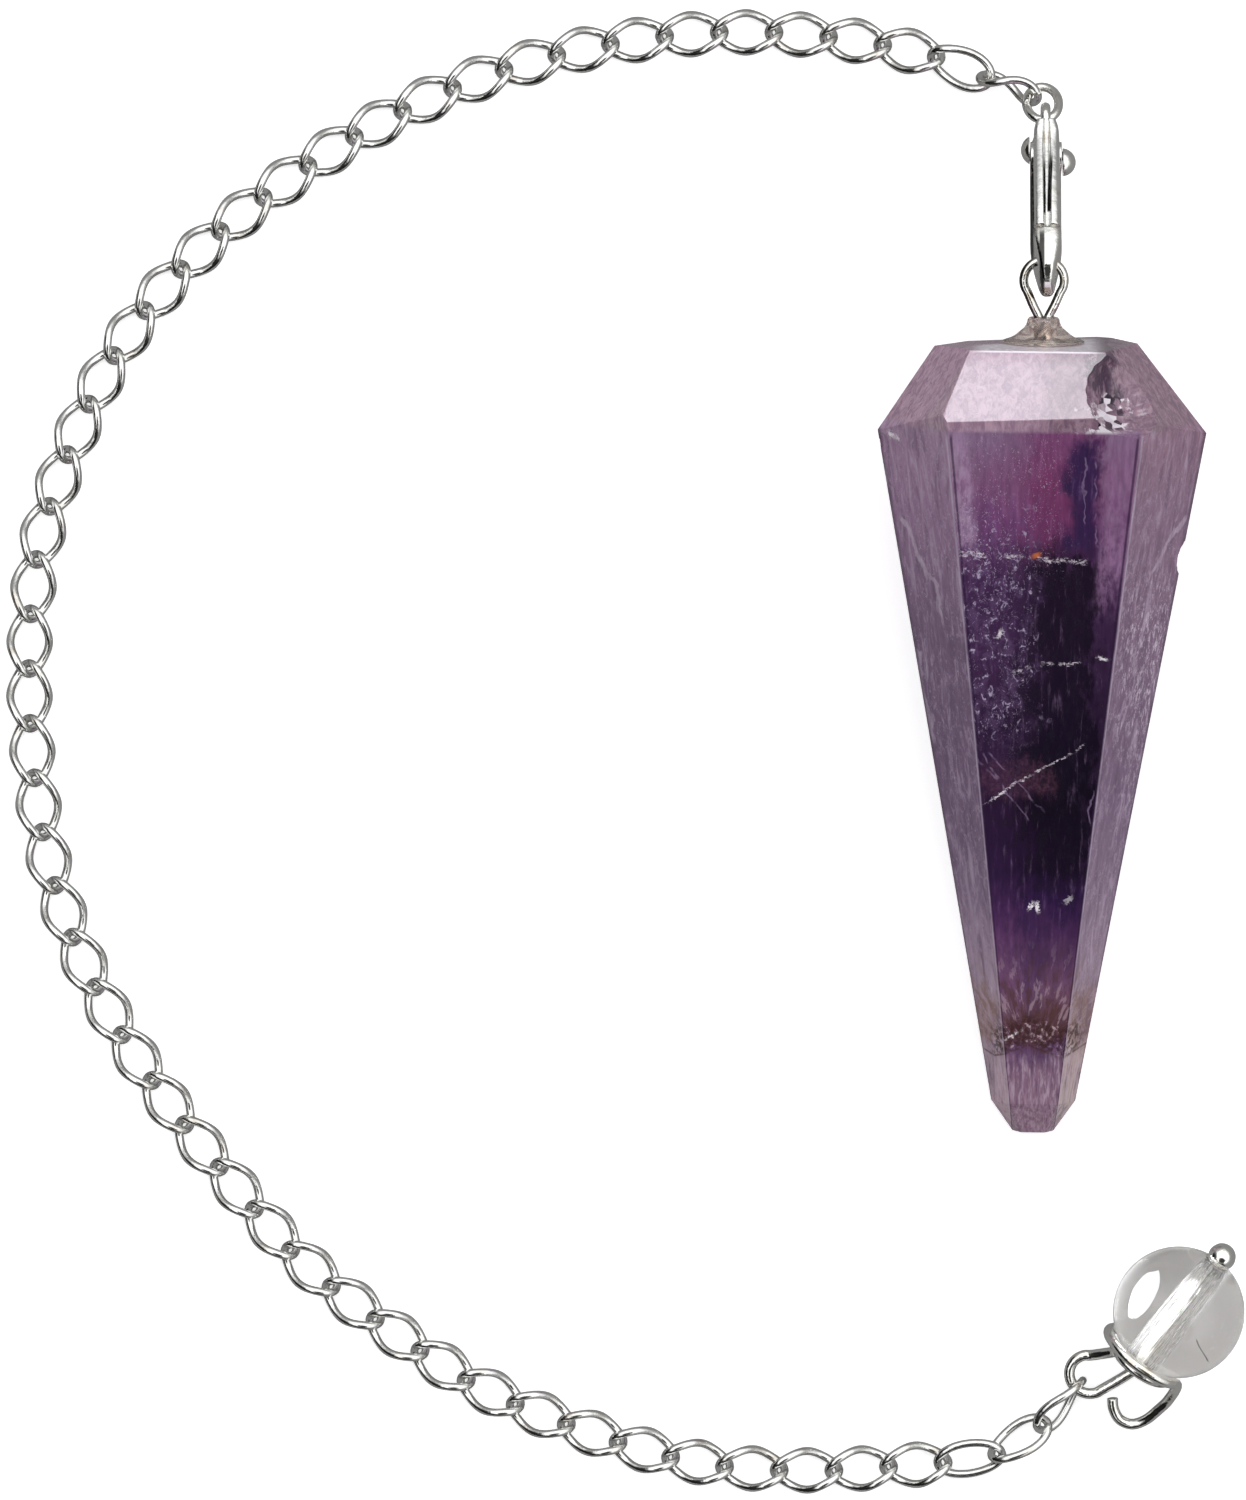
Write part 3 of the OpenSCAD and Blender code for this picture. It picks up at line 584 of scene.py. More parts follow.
# %% Eye of twisted wire
def eye_path():
    """One leg of a helix up, a round eye, and the other leg down: radius times cos and sin of a turning angle."""
    loop, neck = (EYE_WIDTH - EYE_WIRE) / 2, CROWN + COLLAR_HEIGHT + 2 * GAP
    foot, offset = CROWN - SHANK + EYE_WIRE / 2, EYE_WIRE / 2 + 0.025
    middle = CROWN + EYE_HEIGHT - EYE_WIRE / 2 - loop
    z = np.linspace(foot, neck, 28)
    a = 540 * (neck - z) / (neck - foot)
    leg = [spread(offset * np.cos(b), offset * np.sin(b), z) for b in (np.radians(a), np.radians(a + 180))]
    turn = np.radians(np.arange(-36, 217, 12))
    eye = spread(loop * np.cos(turn), 0, middle + loop * np.sin(turn))
    flare = neck + (middle - loop * math.sin(math.radians(36)) - neck) * 0.45
    sides = np.array([[loop * 0.52, 0, flare], [-loop * 0.52, 0, flare]])
    return from_stone(smooth_curve(np.vstack([leg[0], sides[:1], eye, sides[1:], leg[1][::-1]]), 3))


# Painted shade lies along the wire on the side that faces -x: a near-black that stands for a dark reflection there. It
# is found from the surface's own direction.
eye_silver = bright_finish("eye_silver")
to_x, _, to_z = Field(eye_silver.tree, eye_silver.coordinates["Normal"]).axes()
tarnish_and_shade = to_x.span(-0.50, -0.20, 0.9, 0.0) * to_z.span(-0.40, -0.10)
eye_silver.set(Base_Color=tarnish_and_shade.blend(eye_silver.tint, (26, 23, 22)))
add_piece("eye_wire", wire_surface(eye_path(), EYE_WIRE / 2, WIRE_SIDES), eye_silver.material, "silver", "eye_loop")

# %% [markdown]
# ## Glue cone round the wire
#
# Clear glue was set round the wire where it enters the stone, and it dried in a low cone. A closed profile turned
# about the stone's axis makes it, with the wire's hole left through its middle.

# %% Turned shapes
def turned(profile, place, around):
    """Closed profile (radius, height) turned about an axis: (r cos a, r sin a, h), then put in place."""
    profile = np.asarray(profile, float)
    a = circle(around)[None, :]
    r, h = profile[:, :1], profile[:, 1:]
    return ringed(place(spread(r * np.cos(a), r * np.sin(a), h)), closed=True)


wire_bore = 2 * EYE_WIRE + 3 * GAP
low = CROWN + GAP
# Rows of the cone's outline: share of its height, share of its foot's radius.
widths = np.array([[0.0, 0.985], [0.035, 1.0], [0.08, 0.94], [0.16, 0.81], [0.28, 0.68], [0.42, 0.58], [0.60, 0.46],
                   [0.80, 0.40], [0.93, 0.385], [1.0, 0.345]])
outer = smooth_curve(np.stack([widths[:, 1] * COLLAR_WIDTH / 2, low + widths[:, 0] * COLLAR_HEIGHT], -1), 4)
bore_wall = [[wire_bore / 2, low + COLLAR_HEIGHT], [wire_bore / 2, low]]
collar_surface = turned(np.vstack([outer, bore_wall]), from_stone, 72)
print("glue cone:", len(collar_surface[0]), "points, bore", round(wire_bore, 2), "mm")

# %% Clear glue, a little grey and full of small bubbles
glue = Finish("set_glue", IOR=1.45, Transmission_Weight=0.93)
cloud = glue.place.noise(1400.0)
bubbles = glue.place.cells(5200.0, "Distance").span(0.10, 0.22)
glue.set(Base_Color=cloud.blend((240, 222, 212), (255, 248, 242)), Roughness=cloud.span(0.35, 0.7, 0.01, 0.12),
         Normal=(bubbles * 0.3 + cloud).bump(0.00006))
add_piece("glue_cone", collar_surface, glue.material, "resin", "resin_collar")

# %% [markdown]
# ## The lobster clasp
#
# A lobster clasp is cast in two parts: a hooked body with its eyelet, and a sprung lever that turns on a rivet
# between two cheeks. Casting leaves no sharp inner corners. So each part is first put together from simple closed
# shells, then melted into one skin on a fine grid of voxels and smoothed, which rounds the corners as in cast metal.

# %% Places on the clasp
clasp_u = np.array([0, -math.cos(clasp_slope), math.sin(clasp_slope)])
clasp_v = np.array([0, math.sin(clasp_slope), math.cos(clasp_slope)])


def from_clasp(p):
    """Point p = (from the eyelet's end to the nose, towards the lever, through the thickness)."""
    p = np.asarray(p, float)
    return HITCH + (p[..., :1] - eyelet_u) * clasp_u + p[..., 1:2] * clasp_v - p[..., 2:3] * [1, 0, 0]


def on_clasp(shares):
    """Place from shares of the length beyond the eyelet and of the claw's width."""
    shares = np.asarray(shares, float)
    return shares[..., :2] * [CLASP_LENGTH - 2 * eyelet_u, CLAW_WIDTH] + [2 * eyelet_u, 0]


LEVER_THICK, LEVER_WIDTH, RIVET, RIVET_HEAD, RIVET_RISE, RIVET_PLAY = 1.1, 1.6, 0.56, 1.7, 0.8, 0.03
MELT = 0.02  # a melted skin may lie this far off its shells, so holes start wider
rivet_at = on_clasp([0.145, 0.07])
root_radius, cheek_radius, cheek_in = 0.18 * CLAW_WIDTH, 0.22 * CLAW_WIDTH, LEVER_THICK / 2 + GAP
print("rivet on the clasp at", rivet_at.round(2).tolist())

# %% Bars and plates
SECTION = smooth_ring([(1, 0), (0.88, 0.62), (0.5, 0.95), (0, 1), (-0.5, 0.95), (-0.88, 0.62), (-1, 0), (-0.88, -0.62),
                       (-0.5, -0.95), (0, -1), (0.5, -0.95), (0.88, -0.62)], 3)
GROOVED = smooth_ring([(1, 0), (0.88, 0.7), (0.6, 1), (0.26, 1), (0.2, 0.1), (-0.2, 0.1), (-0.26, 1), (-0.6, 1),
                       (-0.88, 0.7), (-1, 0), (-0.88, -0.62), (-0.5, -0.95), (0.5, -0.95), (0.88, -0.62)], 3)


def bar_surface(rows, section, wide):
    """Row (place shares, thickness share, width share); ring point = centre + out s1 thickness, across s0 width."""
    rows = smooth_curve(rows, 8)
    centre, thick = on_clasp(rows), rows[:, 2:3] * CLAW_WIDTH
    ahead = unit(np.gradient(centre, axis=0))
    out = np.stack([-ahead[:, 1], ahead[:, 0]], -1)
    plane = centre[:, None] + out[:, None] * (section[None, :, 1:] * thick[:, None])
    across = -section[None, :, :1] * rows[:, None, 3:4] * wide
    return ringed(np.concatenate([plane, across], -1))


def plate_surface(outline, hole, near, far, around=96):
    """Flat plate about the rivet, from its hole's radius to an outline radius r(a) given for every angle."""
    a = circle(around)
    radii = np.stack([np.full(around, hole), outline(a), outline(a), np.full(around, hole)])
    across = np.array([near, near, far, far])[:, None]
    return ringed(spread(radii * np.cos(a) + rivet_at[0], radii * np.sin(a) + rivet_at[1], across), closed=True)


print("sections have", len(SECTION), "and", len(GROOVED), "sides")

# %% Body of the clasp
# Rows of a bar: place along the clasp and across the claw, then thickness and width, each as a share.
BOW = [(-0.035, -0.07, 0.10, 0.30), (0.05, -0.18, 0.13, 0.5), (0.145, -0.285, 0.15, 0.5), (0.29, -0.42, 0.155, 0.5),
       (0.467, -0.513, 0.16, 0.5), (0.636, -0.505, 0.175, 0.5), (0.758, -0.417, 0.185, 0.41),
       (0.868, -0.202, 0.215, 0.29), (0.909, 0.075, 0.225, 0.26), (0.866, 0.30, 0.20, 0.30),
       (0.79, 0.42, 0.165, 0.40), (0.73, 0.462, 0.135, 0.45), (0.668, 0.48, 0.105, 0.45)]


def cheek_outline(a):
    """Circle of the cheek, or further out where its foot of half width f runs down: min(f / |cos a|, d / |sin a|)."""
    foot, deep = 0.6 * cheek_radius, 1.6 * cheek_radius
    down = np.minimum(foot / np.maximum(np.abs(np.cos(a)), 1e-6), deep / np.maximum(np.abs(np.sin(a)), 1e-6))
    return np.where(np.sin(a) < 0, np.maximum(cheek_radius, down), cheek_radius)


turn, eyelet = np.radians(np.arange(0, 360, 6)), (eyelet_bore + EYELET_WIRE) / 2
eyelet_path = spread(eyelet_u + eyelet * np.cos(turn), eyelet * np.sin(turn), 0)
cheek_hole = (RIVET + GAP) / 2 + MELT
body_shells = joined(bar_surface(BOW, SECTION, CLASP_THICK), wire_surface(eyelet_path, EYELET_WIRE / 2, 24, True),
                     plate_surface(cheek_outline, cheek_hole, cheek_in, CLASP_THICK / 2),
                     plate_surface(cheek_outline, cheek_hole, -CLASP_THICK / 2, -cheek_in))


def cast(shells, voxel, rounds):
    """The shells melted into one skin on a grid of voxels, and smoothed in so many rounds."""
    return worked(raw_object("shells", *shells), ("REMESH", {"mode": "VOXEL", "voxel_size": voxel}),
                  ("SMOOTH", {"factor": 0.5, "iterations": rounds}))


body_points, body_faces = cast(body_shells, 0.045, 5)
print("clasp body:", len(body_faces), "triangles")

# %% Room for the lever's root in the body
offset = body_points[:, :2] - rivet_at
distance = np.linalg.norm(offset, axis=1)
ROOM, SKIN = root_radius + 2.4 * GAP, 0.02
pushed = (np.abs(body_points[:, 2]) < cheek_in + SKIN) & (distance < ROOM)
body_points[pushed, :2] = rivet_at + offset[pushed] / distance[pushed, None] * ROOM
print("points moved out of the root's room:", int(pushed.sum()))

# %% Painted shade: a near-black dark reflection down the claw's left edge, and the same near-black round its nose
claw_silver = bright_finish("claw_silver")
clasp_x, clasp_y, _ = claw_silver.place.measured(HITCH, (-clasp_slope, 0, 0)).axes()
painted_claw_shade = clasp_x.fade(-0.84, -0.68) * clasp_y.span(-9.4, -8.4) * clasp_y.fade(-3.4, -2.9)
nose = clasp_x.near(-0.34, 0.10, 0.2) * clasp_y.fade(-9.0, -8.2)
claw_silver.set(Base_Color=(painted_claw_shade.math("MAXIMUM", nose) * 0.93).blend(claw_silver.tint, (20, 16, 18)))
add_piece("clasp_claw", (from_clasp(body_points), body_faces), claw_silver.material, "silver", "clasp_body")

# %% Lever with its root and groove
LEVER = [(-0.01, 0.505, 0.055, 0.34), (0.035, 0.465, 0.085, 0.45), (0.105, 0.437, 0.095, 0.49),
         (0.23, 0.445, 0.105, 0.5), (0.38, 0.468, 0.108, 0.5), (0.53, 0.483, 0.105, 0.5), (0.652, 0.48, 0.10, 0.49)]
LEVER_WEB = np.array([(0.055, 0), (0.15, 0.338), (-0.035, 0.325), (-0.05, 0)])
LEVER_WEB = LEVER_WEB * [CLASP_LENGTH - 2 * eyelet_u, CLAW_WIDTH]


def root_outline(a):
    """Circle of the root, or the web's edge where that lies further from the rivet."""
    steps = np.linspace(0, 1, 60)[:, None]
    edge = np.vstack([LEVER_WEB[i] + (LEVER_WEB[i + 1] - LEVER_WEB[i]) * steps for i in range(3)])
    angle, reach = np.arctan2(edge[:, 1], edge[:, 0]), np.linalg.norm(edge, axis=1)
    web = np.interp(a, angle, reach, left=0, right=0)
    return np.maximum(root_radius, web)


lever_shells = joined(bar_surface(LEVER, GROOVED, LEVER_WIDTH),
                      plate_surface(root_outline, RIVET / 2 + RIVET_PLAY + MELT, -LEVER_THICK / 2, LEVER_THICK / 2))
lever_points, lever_faces = cast(lever_shells, 0.04, 3)
lever_silver = silver_finish("lever_silver", (240, 240, 238), (205, 196, 180), 0.05, 0.18, 0.00005)
groove_x, groove_y, _ = lever_silver.place.measured(HITCH, (-clasp_slope, 0, 0)).axes()
# Painted shade: a near-black line down the lever's groove.
painted_groove_shade = groove_x.near(groove_y.span(-7.2, -2.6, 0.12, 0.26), 0.08, 0.16)
painted_groove_shade = painted_groove_shade * groove_y.span(-7.3, -7.1) * groove_y.fade(-4.2, -2.8)
lever_silver.set(Base_Color=painted_groove_shade.blend(lever_silver.tint, (14, 12, 16)))
add_piece("clasp_spring_lever", (from_clasp(lever_points), lever_faces), lever_silver.material, "silver",
          "clasp_lever", body="lever")

# %% Rivet with two hammered heads
def head_rings(side, rise, shift):
    """Dome: w = foot + rise - R + R cos t and r = R sin t, with R = (half width squared + rise squared) / (2 rise)."""
    foot, half = CLASP_THICK / 2 + GAP, RIVET_HEAD / 2
    ball = (half ** 2 + rise ** 2) / (2 * rise)
    t = np.linspace(0.05, math.asin(min(half / ball, 1.0)) if rise < half else math.pi / 2, 16)
    rows = spread(side * (foot + rise - ball + ball * np.cos(t)), ball * np.sin(t), shift)
    return np.vstack([rows, [[side * foot, half * 0.985, shift], [side * foot, RIVET / 2, 0.0]]])


HEAD_SHIFT, LOW_HEAD = 0.24 * RIVET_HEAD, 0.65 * RIVET_RISE
rows = np.vstack([head_rings(-1, RIVET_RISE, HEAD_SHIFT), head_rings(1, LOW_HEAD, -HEAD_SHIFT)[::-1]])
a = circle(48)[None, :]
rivet_rings = spread(rivet_at[0] + rows[:, 2:] + rows[:, 1:2] * np.cos(a), rivet_at[1] + rows[:, 1:2] * np.sin(a),
                     rows[:, :1])
add_piece("clasp_rivet", ringed(from_clasp(rivet_rings)), bright_silver, "silver", "clasp_pin")

# %% [markdown]
# ## The bead
#
# A bead is ground round and drilled through, and the drill leaves a frosted wall that catches the light inside the
# clear quartz. The sphere and the bore are one closed profile turned about the pin's direction.

# %% Drilled ball
mouth = math.asin(BEAD_BORE / 2 / BEAD_RADIUS)
arc = np.linspace(mouth, math.pi - mouth, 72)
ball_profile = np.stack([BEAD_RADIUS * np.sin(arc), BEAD_RADIUS * np.cos(arc)], -1)
bore_line = np.linspace(ball_profile[-1], ball_profile[0], 26)[1:-1]
bead_surface = turned(np.vstack([ball_profile, bore_line]), lambda r: from_bead(r[..., [2, 0, 1]]), 96)
print("bead:", len(bead_surface[1]), "triangles")

# %% Rock crystal with a frosted bore, a hair crack, a little mist and painted shade on one side
crystal = Finish("rock_crystal", Roughness=0.0, IOR=1.544, Transmission_Weight=1.0)
bead_mm = crystal.place.measured(bead_middle, (0, dip, heading))
bead_x, bead_y, bead_z = bead_mm.axes()
wall = (bead_y * bead_y + bead_z * bead_z).math("SQRT").fade(0.72, 0.80)
drill_lines = bead_mm.moved(scale=(0.12, 2.2, 2.2)).noise(2.0, 4.0)
crack = bead_x * 1.27 + 2.38 + (bead_x * 5.0).math("SINE") * 0.07
hair = bead_y.near(crack, 0.02, 0.09) * bead_x.near(0.04, 0.46, 0.6) * bead_z.span(1.6, 2.0)
clear = bead_mm.noise(0.8).blend((238, 237, 236), (250, 249, 247))
# Painted shade: the ball turns a little grey towards its +y rim.
clear = bead_y.span(0.8, 4.0).blend(clear, (226, 223, 221))
mist = bead_mm.noise(2.6, 4.0, 0.6).span(0.60, 0.66) * bead_y.span(0.6, 1.4) * 0.6
clear = wall.blend(mist.blend(clear, (255, 255, 255)), (253, 252, 250))
crystal.set(Base_Color=hair.blend(clear, (70, 66, 66)), Roughness=wall * drill_lines.span(0.35, 0.65, 0.05, 0.55),
            Normal=(wall * drill_lines).bump(0.00025))
bead = add_piece("quartz_ball", bead_surface, crystal.material, "rock_crystal", "quartz_bead")

# %% [markdown]
# ## The amethyst point
#
# A cutter grinds six long facets, six crown facets and a table. The same shape comes out of planes: a point belongs
# to the stone when it lies behind every plane, and a corner is where three planes meet. All corners come from one
# batch of small linear systems, and the hull through them is the stone. Its edges are then broken by a hair's
# breadth, and three old chips are taken out.

# %% Planes of the cut
LEAN, NOD, CROWN_SHIFT = math.radians(-2.4), math.radians(-3.5), -0.3
taper_slope, crown_slope = (1 - tip_share) / TAPER, (1 - table_share) / CROWN
crown_half = half_deep + CROWN_EXTRA / 2
edge_lift = (crown_half - half_deep) / (half_deep * taper_slope + crown_half * crown_slope)
crown_corner = FACET_WIDTH / 2 * (1 + taper_slope * edge_lift) / (1 - crown_slope * edge_lift)


def cone_planes(corner, share, growth):
    """Plane of each side of a six-sided cone: n.(x, y) - d growth z = d share, with n across an edge of the outline."""
    outline = np.array([[half_wide, 0], corner, [-corner[0], corner[1]], [-half_wide, 0], [-corner[0], -corner[1]],
                        [corner[0], -corner[1]]])
    edge = unit(np.roll(outline, -1, 0) - outline)
    normal = np.stack([edge[:, 1], -edge[:, 0]], -1)
    d = (normal * outline).sum(1)
    return np.column_stack([normal, -d * growth, d * share])


def stone_planes():
    """Rows (a, b, c, d) of ax + by + cz <= d, with z along the stone and its front towards -y."""
    shoulder = -TAPER + TIP_LENGTH / 4
    tip_growth = (1 + taper_slope * shoulder - tip_share / 2) / (TAPER + TIP_LENGTH + shoulder)
    about_y = np.array([[math.cos(LEAN), 0, math.sin(LEAN)], [0, 1, 0], [-math.sin(LEAN), 0, math.cos(LEAN)]])
    about_x = np.array([[1, 0, 0], [0, math.cos(NOD), -math.sin(NOD)], [0, math.sin(NOD), math.cos(NOD)]])
    crown = np.vstack([cone_planes([crown_corner, crown_half], 1, -crown_slope), [0, 0, 1, CROWN]])
    leaned = crown[:, :3] @ (about_y @ about_x).T
    crown = np.column_stack([leaned, crown[:, 3] + leaned @ [CROWN_SHIFT, 0, 0]])
    front = [FACET_WIDTH / 2, half_deep]
    length = TAPER + TIP_LENGTH
    return crown, np.vstack([crown, cone_planes(front, 1, taper_slope), [0, 0, 1, CROWN], [0, 0, -1, length],
                             cone_planes(front, tip_share / 2 + tip_growth * length, tip_growth)])


crown_planes, planes = stone_planes()
triples = np.array(list(itertools.combinations(range(len(planes)), 3)))
systems, sides = planes[triples][..., :3], planes[triples][..., 3]
solid = np.abs(np.linalg.det(systems)) > 1e-6
meets = np.linalg.solve(systems[solid], sides[solid][..., None])[..., 0]
inside = (meets @ planes[:, :3].T <= planes[:, 3] + 1e-6 * np.linalg.norm(planes[:, :3], axis=1)).all(1)
corners = np.unique(meets[inside].round(4), axis=0)
print("corners of the cut stone:", len(corners))

# %% Hull with broken edges
hull = bmesh.new()
bmesh.ops.convex_hull(hull, input=[hull.verts.new(corner) for corner in corners.tolist()])
bmesh.ops.dissolve_limit(hull, angle_limit=0.01, verts=hull.verts[:], edges=hull.edges[:])
print("facets:", len(hull.faces))
bmesh.ops.bevel(hull, geom=hull.edges[:], offset=0.09, segments=3, profile=0.5, affect="EDGES", clamp_overlap=True)
bmesh.ops.recalc_face_normals(hull, faces=hull.faces)
hull_mesh = bpy.data.meshes.new("hull")
hull.to_mesh(hull_mesh)
hull.free()
hull_object = linked("hull", hull_mesh)

# %% Chips and the drilled hole
# Rows of a chip: place as shares of the stone's half sizes, ball's radius and bite as shares of the crown.
DENTS = [((0.43, 0.78, 0.36), 0.6, 0.1), ((0.86, 0.0, -0.19), 0.33, 0.065), ((-0.96, 0.10, -0.02), 0.17, 0.055)]


def chip_cutter(foot, radius, bite):
    """Ball with r = R (1 + ripple), rings of a shell-like break that fade away from the point of the blow."""
    along = foot[2] * (CROWN if foot[2] > 0 else TAPER)
    foot = np.array([foot[0] * half_wide, -foot[1] * half_deep, along])
    away = unit(np.array([foot[0], foot[1], half_wide * 0.6 if along > 0 else 0]))
    t, a = np.radians(np.linspace(2, 178, 90))[:, None], np.radians(np.arange(0, 360, 4))[None, :]
    ball = spread(np.sin(t) * np.cos(a), np.sin(t) * np.sin(a), np.cos(t))
    blow = unit(np.array([0.3, -0.5, -0.8]))
    ripple = 0.010 * np.sin(24 * np.arccos(np.clip(ball @ blow, -1, 1)))
    ripple = ripple + 0.008 * np.sin(9 * ball[..., 0] + 7 * ball[..., 1])
    return ringed(foot + away * (radius - bite) * CROWN + ball * radius * CROWN * (1 + ripple[..., None]))


cutters = [raw_object("chip", *chip_cutter(*dent)) for dent in DENTS]
bore_rings = np.array([(0.0, 0.0, CROWN - SHANK), (0.0, 0.0, CROWN + 3.0)])
cutters.append(raw_object("bore", *wire_surface(bore_rings, wire_bore / 2, 32)))
cuts = [("BOOLEAN", {"object": cutter, "operation": "DIFFERENCE", "solver": "EXACT"}) for cutter in cutters]
stone_points, stone_faces = worked(hull_object, *cuts, cutters=cutters)
print("stone:", len(stone_faces), "triangles")

# %% [markdown]
# ## Amethyst finish
#
# Natural amethyst isn't one purple. Its colour lies in zones across the point, and it is full of healed fractures,
# veils and specks. They are painted here in the stone's own millimetres: x across, y along, z towards the front.
# Colours that change along the stone are ramps, and ragged edges come from coordinates that noise has shifted.

# %% Stone coordinates
stone = Finish("amethyst", IOR=1.544, Coat_IOR=1.75, Coat_Roughness=0.02, Specular_IOR_Level=0.3)
stone_mm = stone.place.measured(girdle, (stone_rise, 0, STONE_TURN))
sx, sy, sz = stone_mm.axes()
facet_x = sx / (sy * taper_slope + 1.0)
across = abs(facet_x)
warp, fine = stone_mm.noise(0.5), stone_mm.noise(4.0, 5.0, 0.65)
ragged = stone_mm.moved(scale=(1.5, 0.6, 1.5)).noise(1.6, 5.0, 0.65)
wx, wy = sx.swayed(warp, 0.5).swayed(ragged, 0.6), sy.swayed(warp, -0.3).swayed(ragged, 0.5)
LOWEST, HIGHEST = -43.0, 5.4


def down_ramp(*stops):
    """Colour ramp along the stone, with stops (place in mm, red, green, blue) from the table to the tip."""
    place = (wy - LOWEST) / (HIGHEST - LOWEST)
    ramp = place.through("ShaderNodeValToRGB", {"Fac": place})
    elements = ramp.socket.node.color_ramp.elements
    while len(elements) < len(stops):
        elements.new(0.5)
    for element, stop in zip(elements, sorted(stops)):
        element.position = (stop[0] - LOWEST) / (HIGHEST - LOWEST)
        element.color = rgb(*stop[1:])
    return ramp


def patch(x, y, x0, x1, y0, y1, soft_x, soft_y):
    """1 inside a rectangle of the front view, falling to 0 across soft edges."""
    return x.between(x0, x1, soft_x) * y.between(y0, y1, soft_y)


def stroke(x, y, start, end, width):
    """1 on a straight line between two places of the front view: its distance |n.(p - start)| is under the width."""
    start, end = np.array(start, float), np.array(end, float)
    length = np.linalg.norm(end - start)
    along = (end - start) / length
    normal = np.array([-along[1], along[0]])
    offset = x * normal[0] + (y * normal[1] - start @ normal)
    run = x * along[0] + (y * along[1] - start @ along)
    return abs(offset).fade(0.4 * width, width) * run.between(0.0, length, 0.2)


def painted(colour, *coats):
    """The colour under coats of paint, each a mask and its paint, laid one over the other."""
    for mask, paint in coats:
        colour = mask.blend(colour, paint)
    return colour


print("finish of the stone has", len(stone.tree.nodes), "nodes so far")

# %% Zones of colour in the front of the stone
long_streaks = stone_mm.moved(scale=(2.2, 0.14, 2.2)).noise(1.5, 5.0, 0.62, 0.3)
slant_streaks = stone_mm.moved(0.16, (1.0, 0.15, 1.0)).noise(1.2, 4.5, 0.56, 0.9)
left_part = down_ramp((0.0, 143, 112, 146), (-2.3, 138, 92, 132), (-4.7, 122, 74, 124), (-6.4, 102, 63, 108),
                      (-8.6, 74, 45, 86), (-13.4, 70, 42, 80), (-16.5, 56, 32, 66), (-20, 56, 33, 66),
                      (-22.5, 48, 26, 58), (-26.8, 54, 30, 70), (-28.6, 80, 46, 92), (-30.5, 106, 66, 112),
                      (-33.8, 128, 88, 124), (-35.2, 120, 86, 106), (-36.9, 102, 68, 86), (-37.4, 114, 80, 118),
                      (-39, 150, 114, 140), (-42, 166, 134, 154))
core_part = down_ramp((0.0, 134, 78, 124), (-2.3, 131, 66, 112), (-5.4, 118, 58, 104), (-6.7, 80, 42, 76),
                      (-7.5, 34, 20, 42), (-13.6, 33, 20, 42), (-18.7, 26, 15, 36), (-22, 20, 10, 28),
                      (-26.5, 28, 15, 38), (-28.4, 52, 28, 72), (-30.3, 84, 50, 94), (-33.5, 122, 84, 118),
                      (-35.0, 112, 76, 88), (-36.8, 100, 66, 76), (-37.4, 104, 74, 112), (-39, 146, 112, 138),
                      (-42, 162, 130, 152))
core = wx.span(-3.0, 0.6) * wx.fade(2.6, 4.0) * wy.fade(2.0, 4.0)
soft_x = sx.swayed(warp, 0.4).swayed(ragged, 0.2)
colour = painted(
    core.blend(left_part, core_part),
    (patch(soft_x, wy, 1.4, 3.3, -6.9, 0.4, 0.55, 0.9), (62, 38, 82)),
    (patch(soft_x, wy, -1.0, 0.5, -34.6, -28.5, 0.6, 1.5) * 0.4, (58, 38, 84)),
    (patch(facet_x, wy, 3.9, 5.8, -9.0, 0.8, 0.4, 2.0) * ragged.span(0.35, 0.6, 0.4, 1.0), (152, 113, 153)),
    (patch(facet_x, wy, -6.0, -4.5, -6.5, 0.8, 0.5, 1.5) * ragged.span(0.35, 0.6, 0.3, 0.9), (178, 148, 180)),
    (patch(facet_x, wy, 3.4, 6.0, -27.0, -11.0, 0.8, 3.0) * 0.3, (20, 10, 28)),
    (long_streaks.span(0.25, 0.75, 0.35, 0.0), (16, 8, 26)),
    (long_streaks.span(0.56, 0.8) * fine.span(0.4, 0.7, 0.2, 0.5), (150, 120, 160)))
print("front of the stone:", len(stone.tree.nodes), "nodes")

# %% Milky side facets and crown
side_left = down_ramp((0.6, 164, 132, 162), (-4, 156, 122, 156), (-12, 118, 90, 122), (-22, 118, 92, 124),
                      (-28, 136, 112, 140), (-33, 174, 150, 172), (-34.6, 170, 141, 149), (-36.8, 158, 128, 131),
                      (-37.4, 178, 152, 168), (-42, 202, 172, 184))
side_right = down_ramp((0.6, 150, 115, 137), (-4, 144, 112, 138), (-12, 129, 100, 128), (-22, 124, 99, 129),
                       (-28, 140, 116, 142), (-33, 156, 134, 154), (-34.6, 156, 128, 134), (-36.8, 148, 120, 118),
                       (-37.4, 190, 166, 168), (-42, 200, 180, 178))
clouds = stone_mm.moved(-0.2, (1.0, 0.4, 1.0)).noise(2.4, 6.0, 0.7, 0.8)
flecks = stone_mm.moved(-0.35, (3.2, 1.1, 3.2)).noise(1.6, 6.0, 0.75, 0.6).span(0.50, 0.60)
bent_x = sx.swayed(warp, 0.2)
SIDE_VEINS = [((-8.5, -5.2), (-6.5, -8.9)), ((-6.5, -8.9), (-5.9, -11.5)), ((-7.4, -13.2), (-6.2, -19.0)),
              ((-6.8, -21.5), (-5.0, -27.5)), ((6.3, -21.0), (7.3, -26.5)), ((8.6, -5.0), (6.6, -8.2))]
veins = [stroke(bent_x, sy, *ends, 0.18) * ragged.span(0.3, 0.6, 0.1, 0.5) for ends in SIDE_VEINS]
mottled = patch(wx, wy, 5.0, 9.0, -26.0, -9.0, 0.5, 2.5) * flecks * clouds.span(0.40, 0.54)
crown_veil, right_half = clouds.span(0.35, 0.65), sx.span(-1.0, 1.0)
left_crown = crown_veil.blend((146, 114, 138), (188, 156, 174))
right_crown = crown_veil.blend((114, 88, 108), (158, 128, 144))
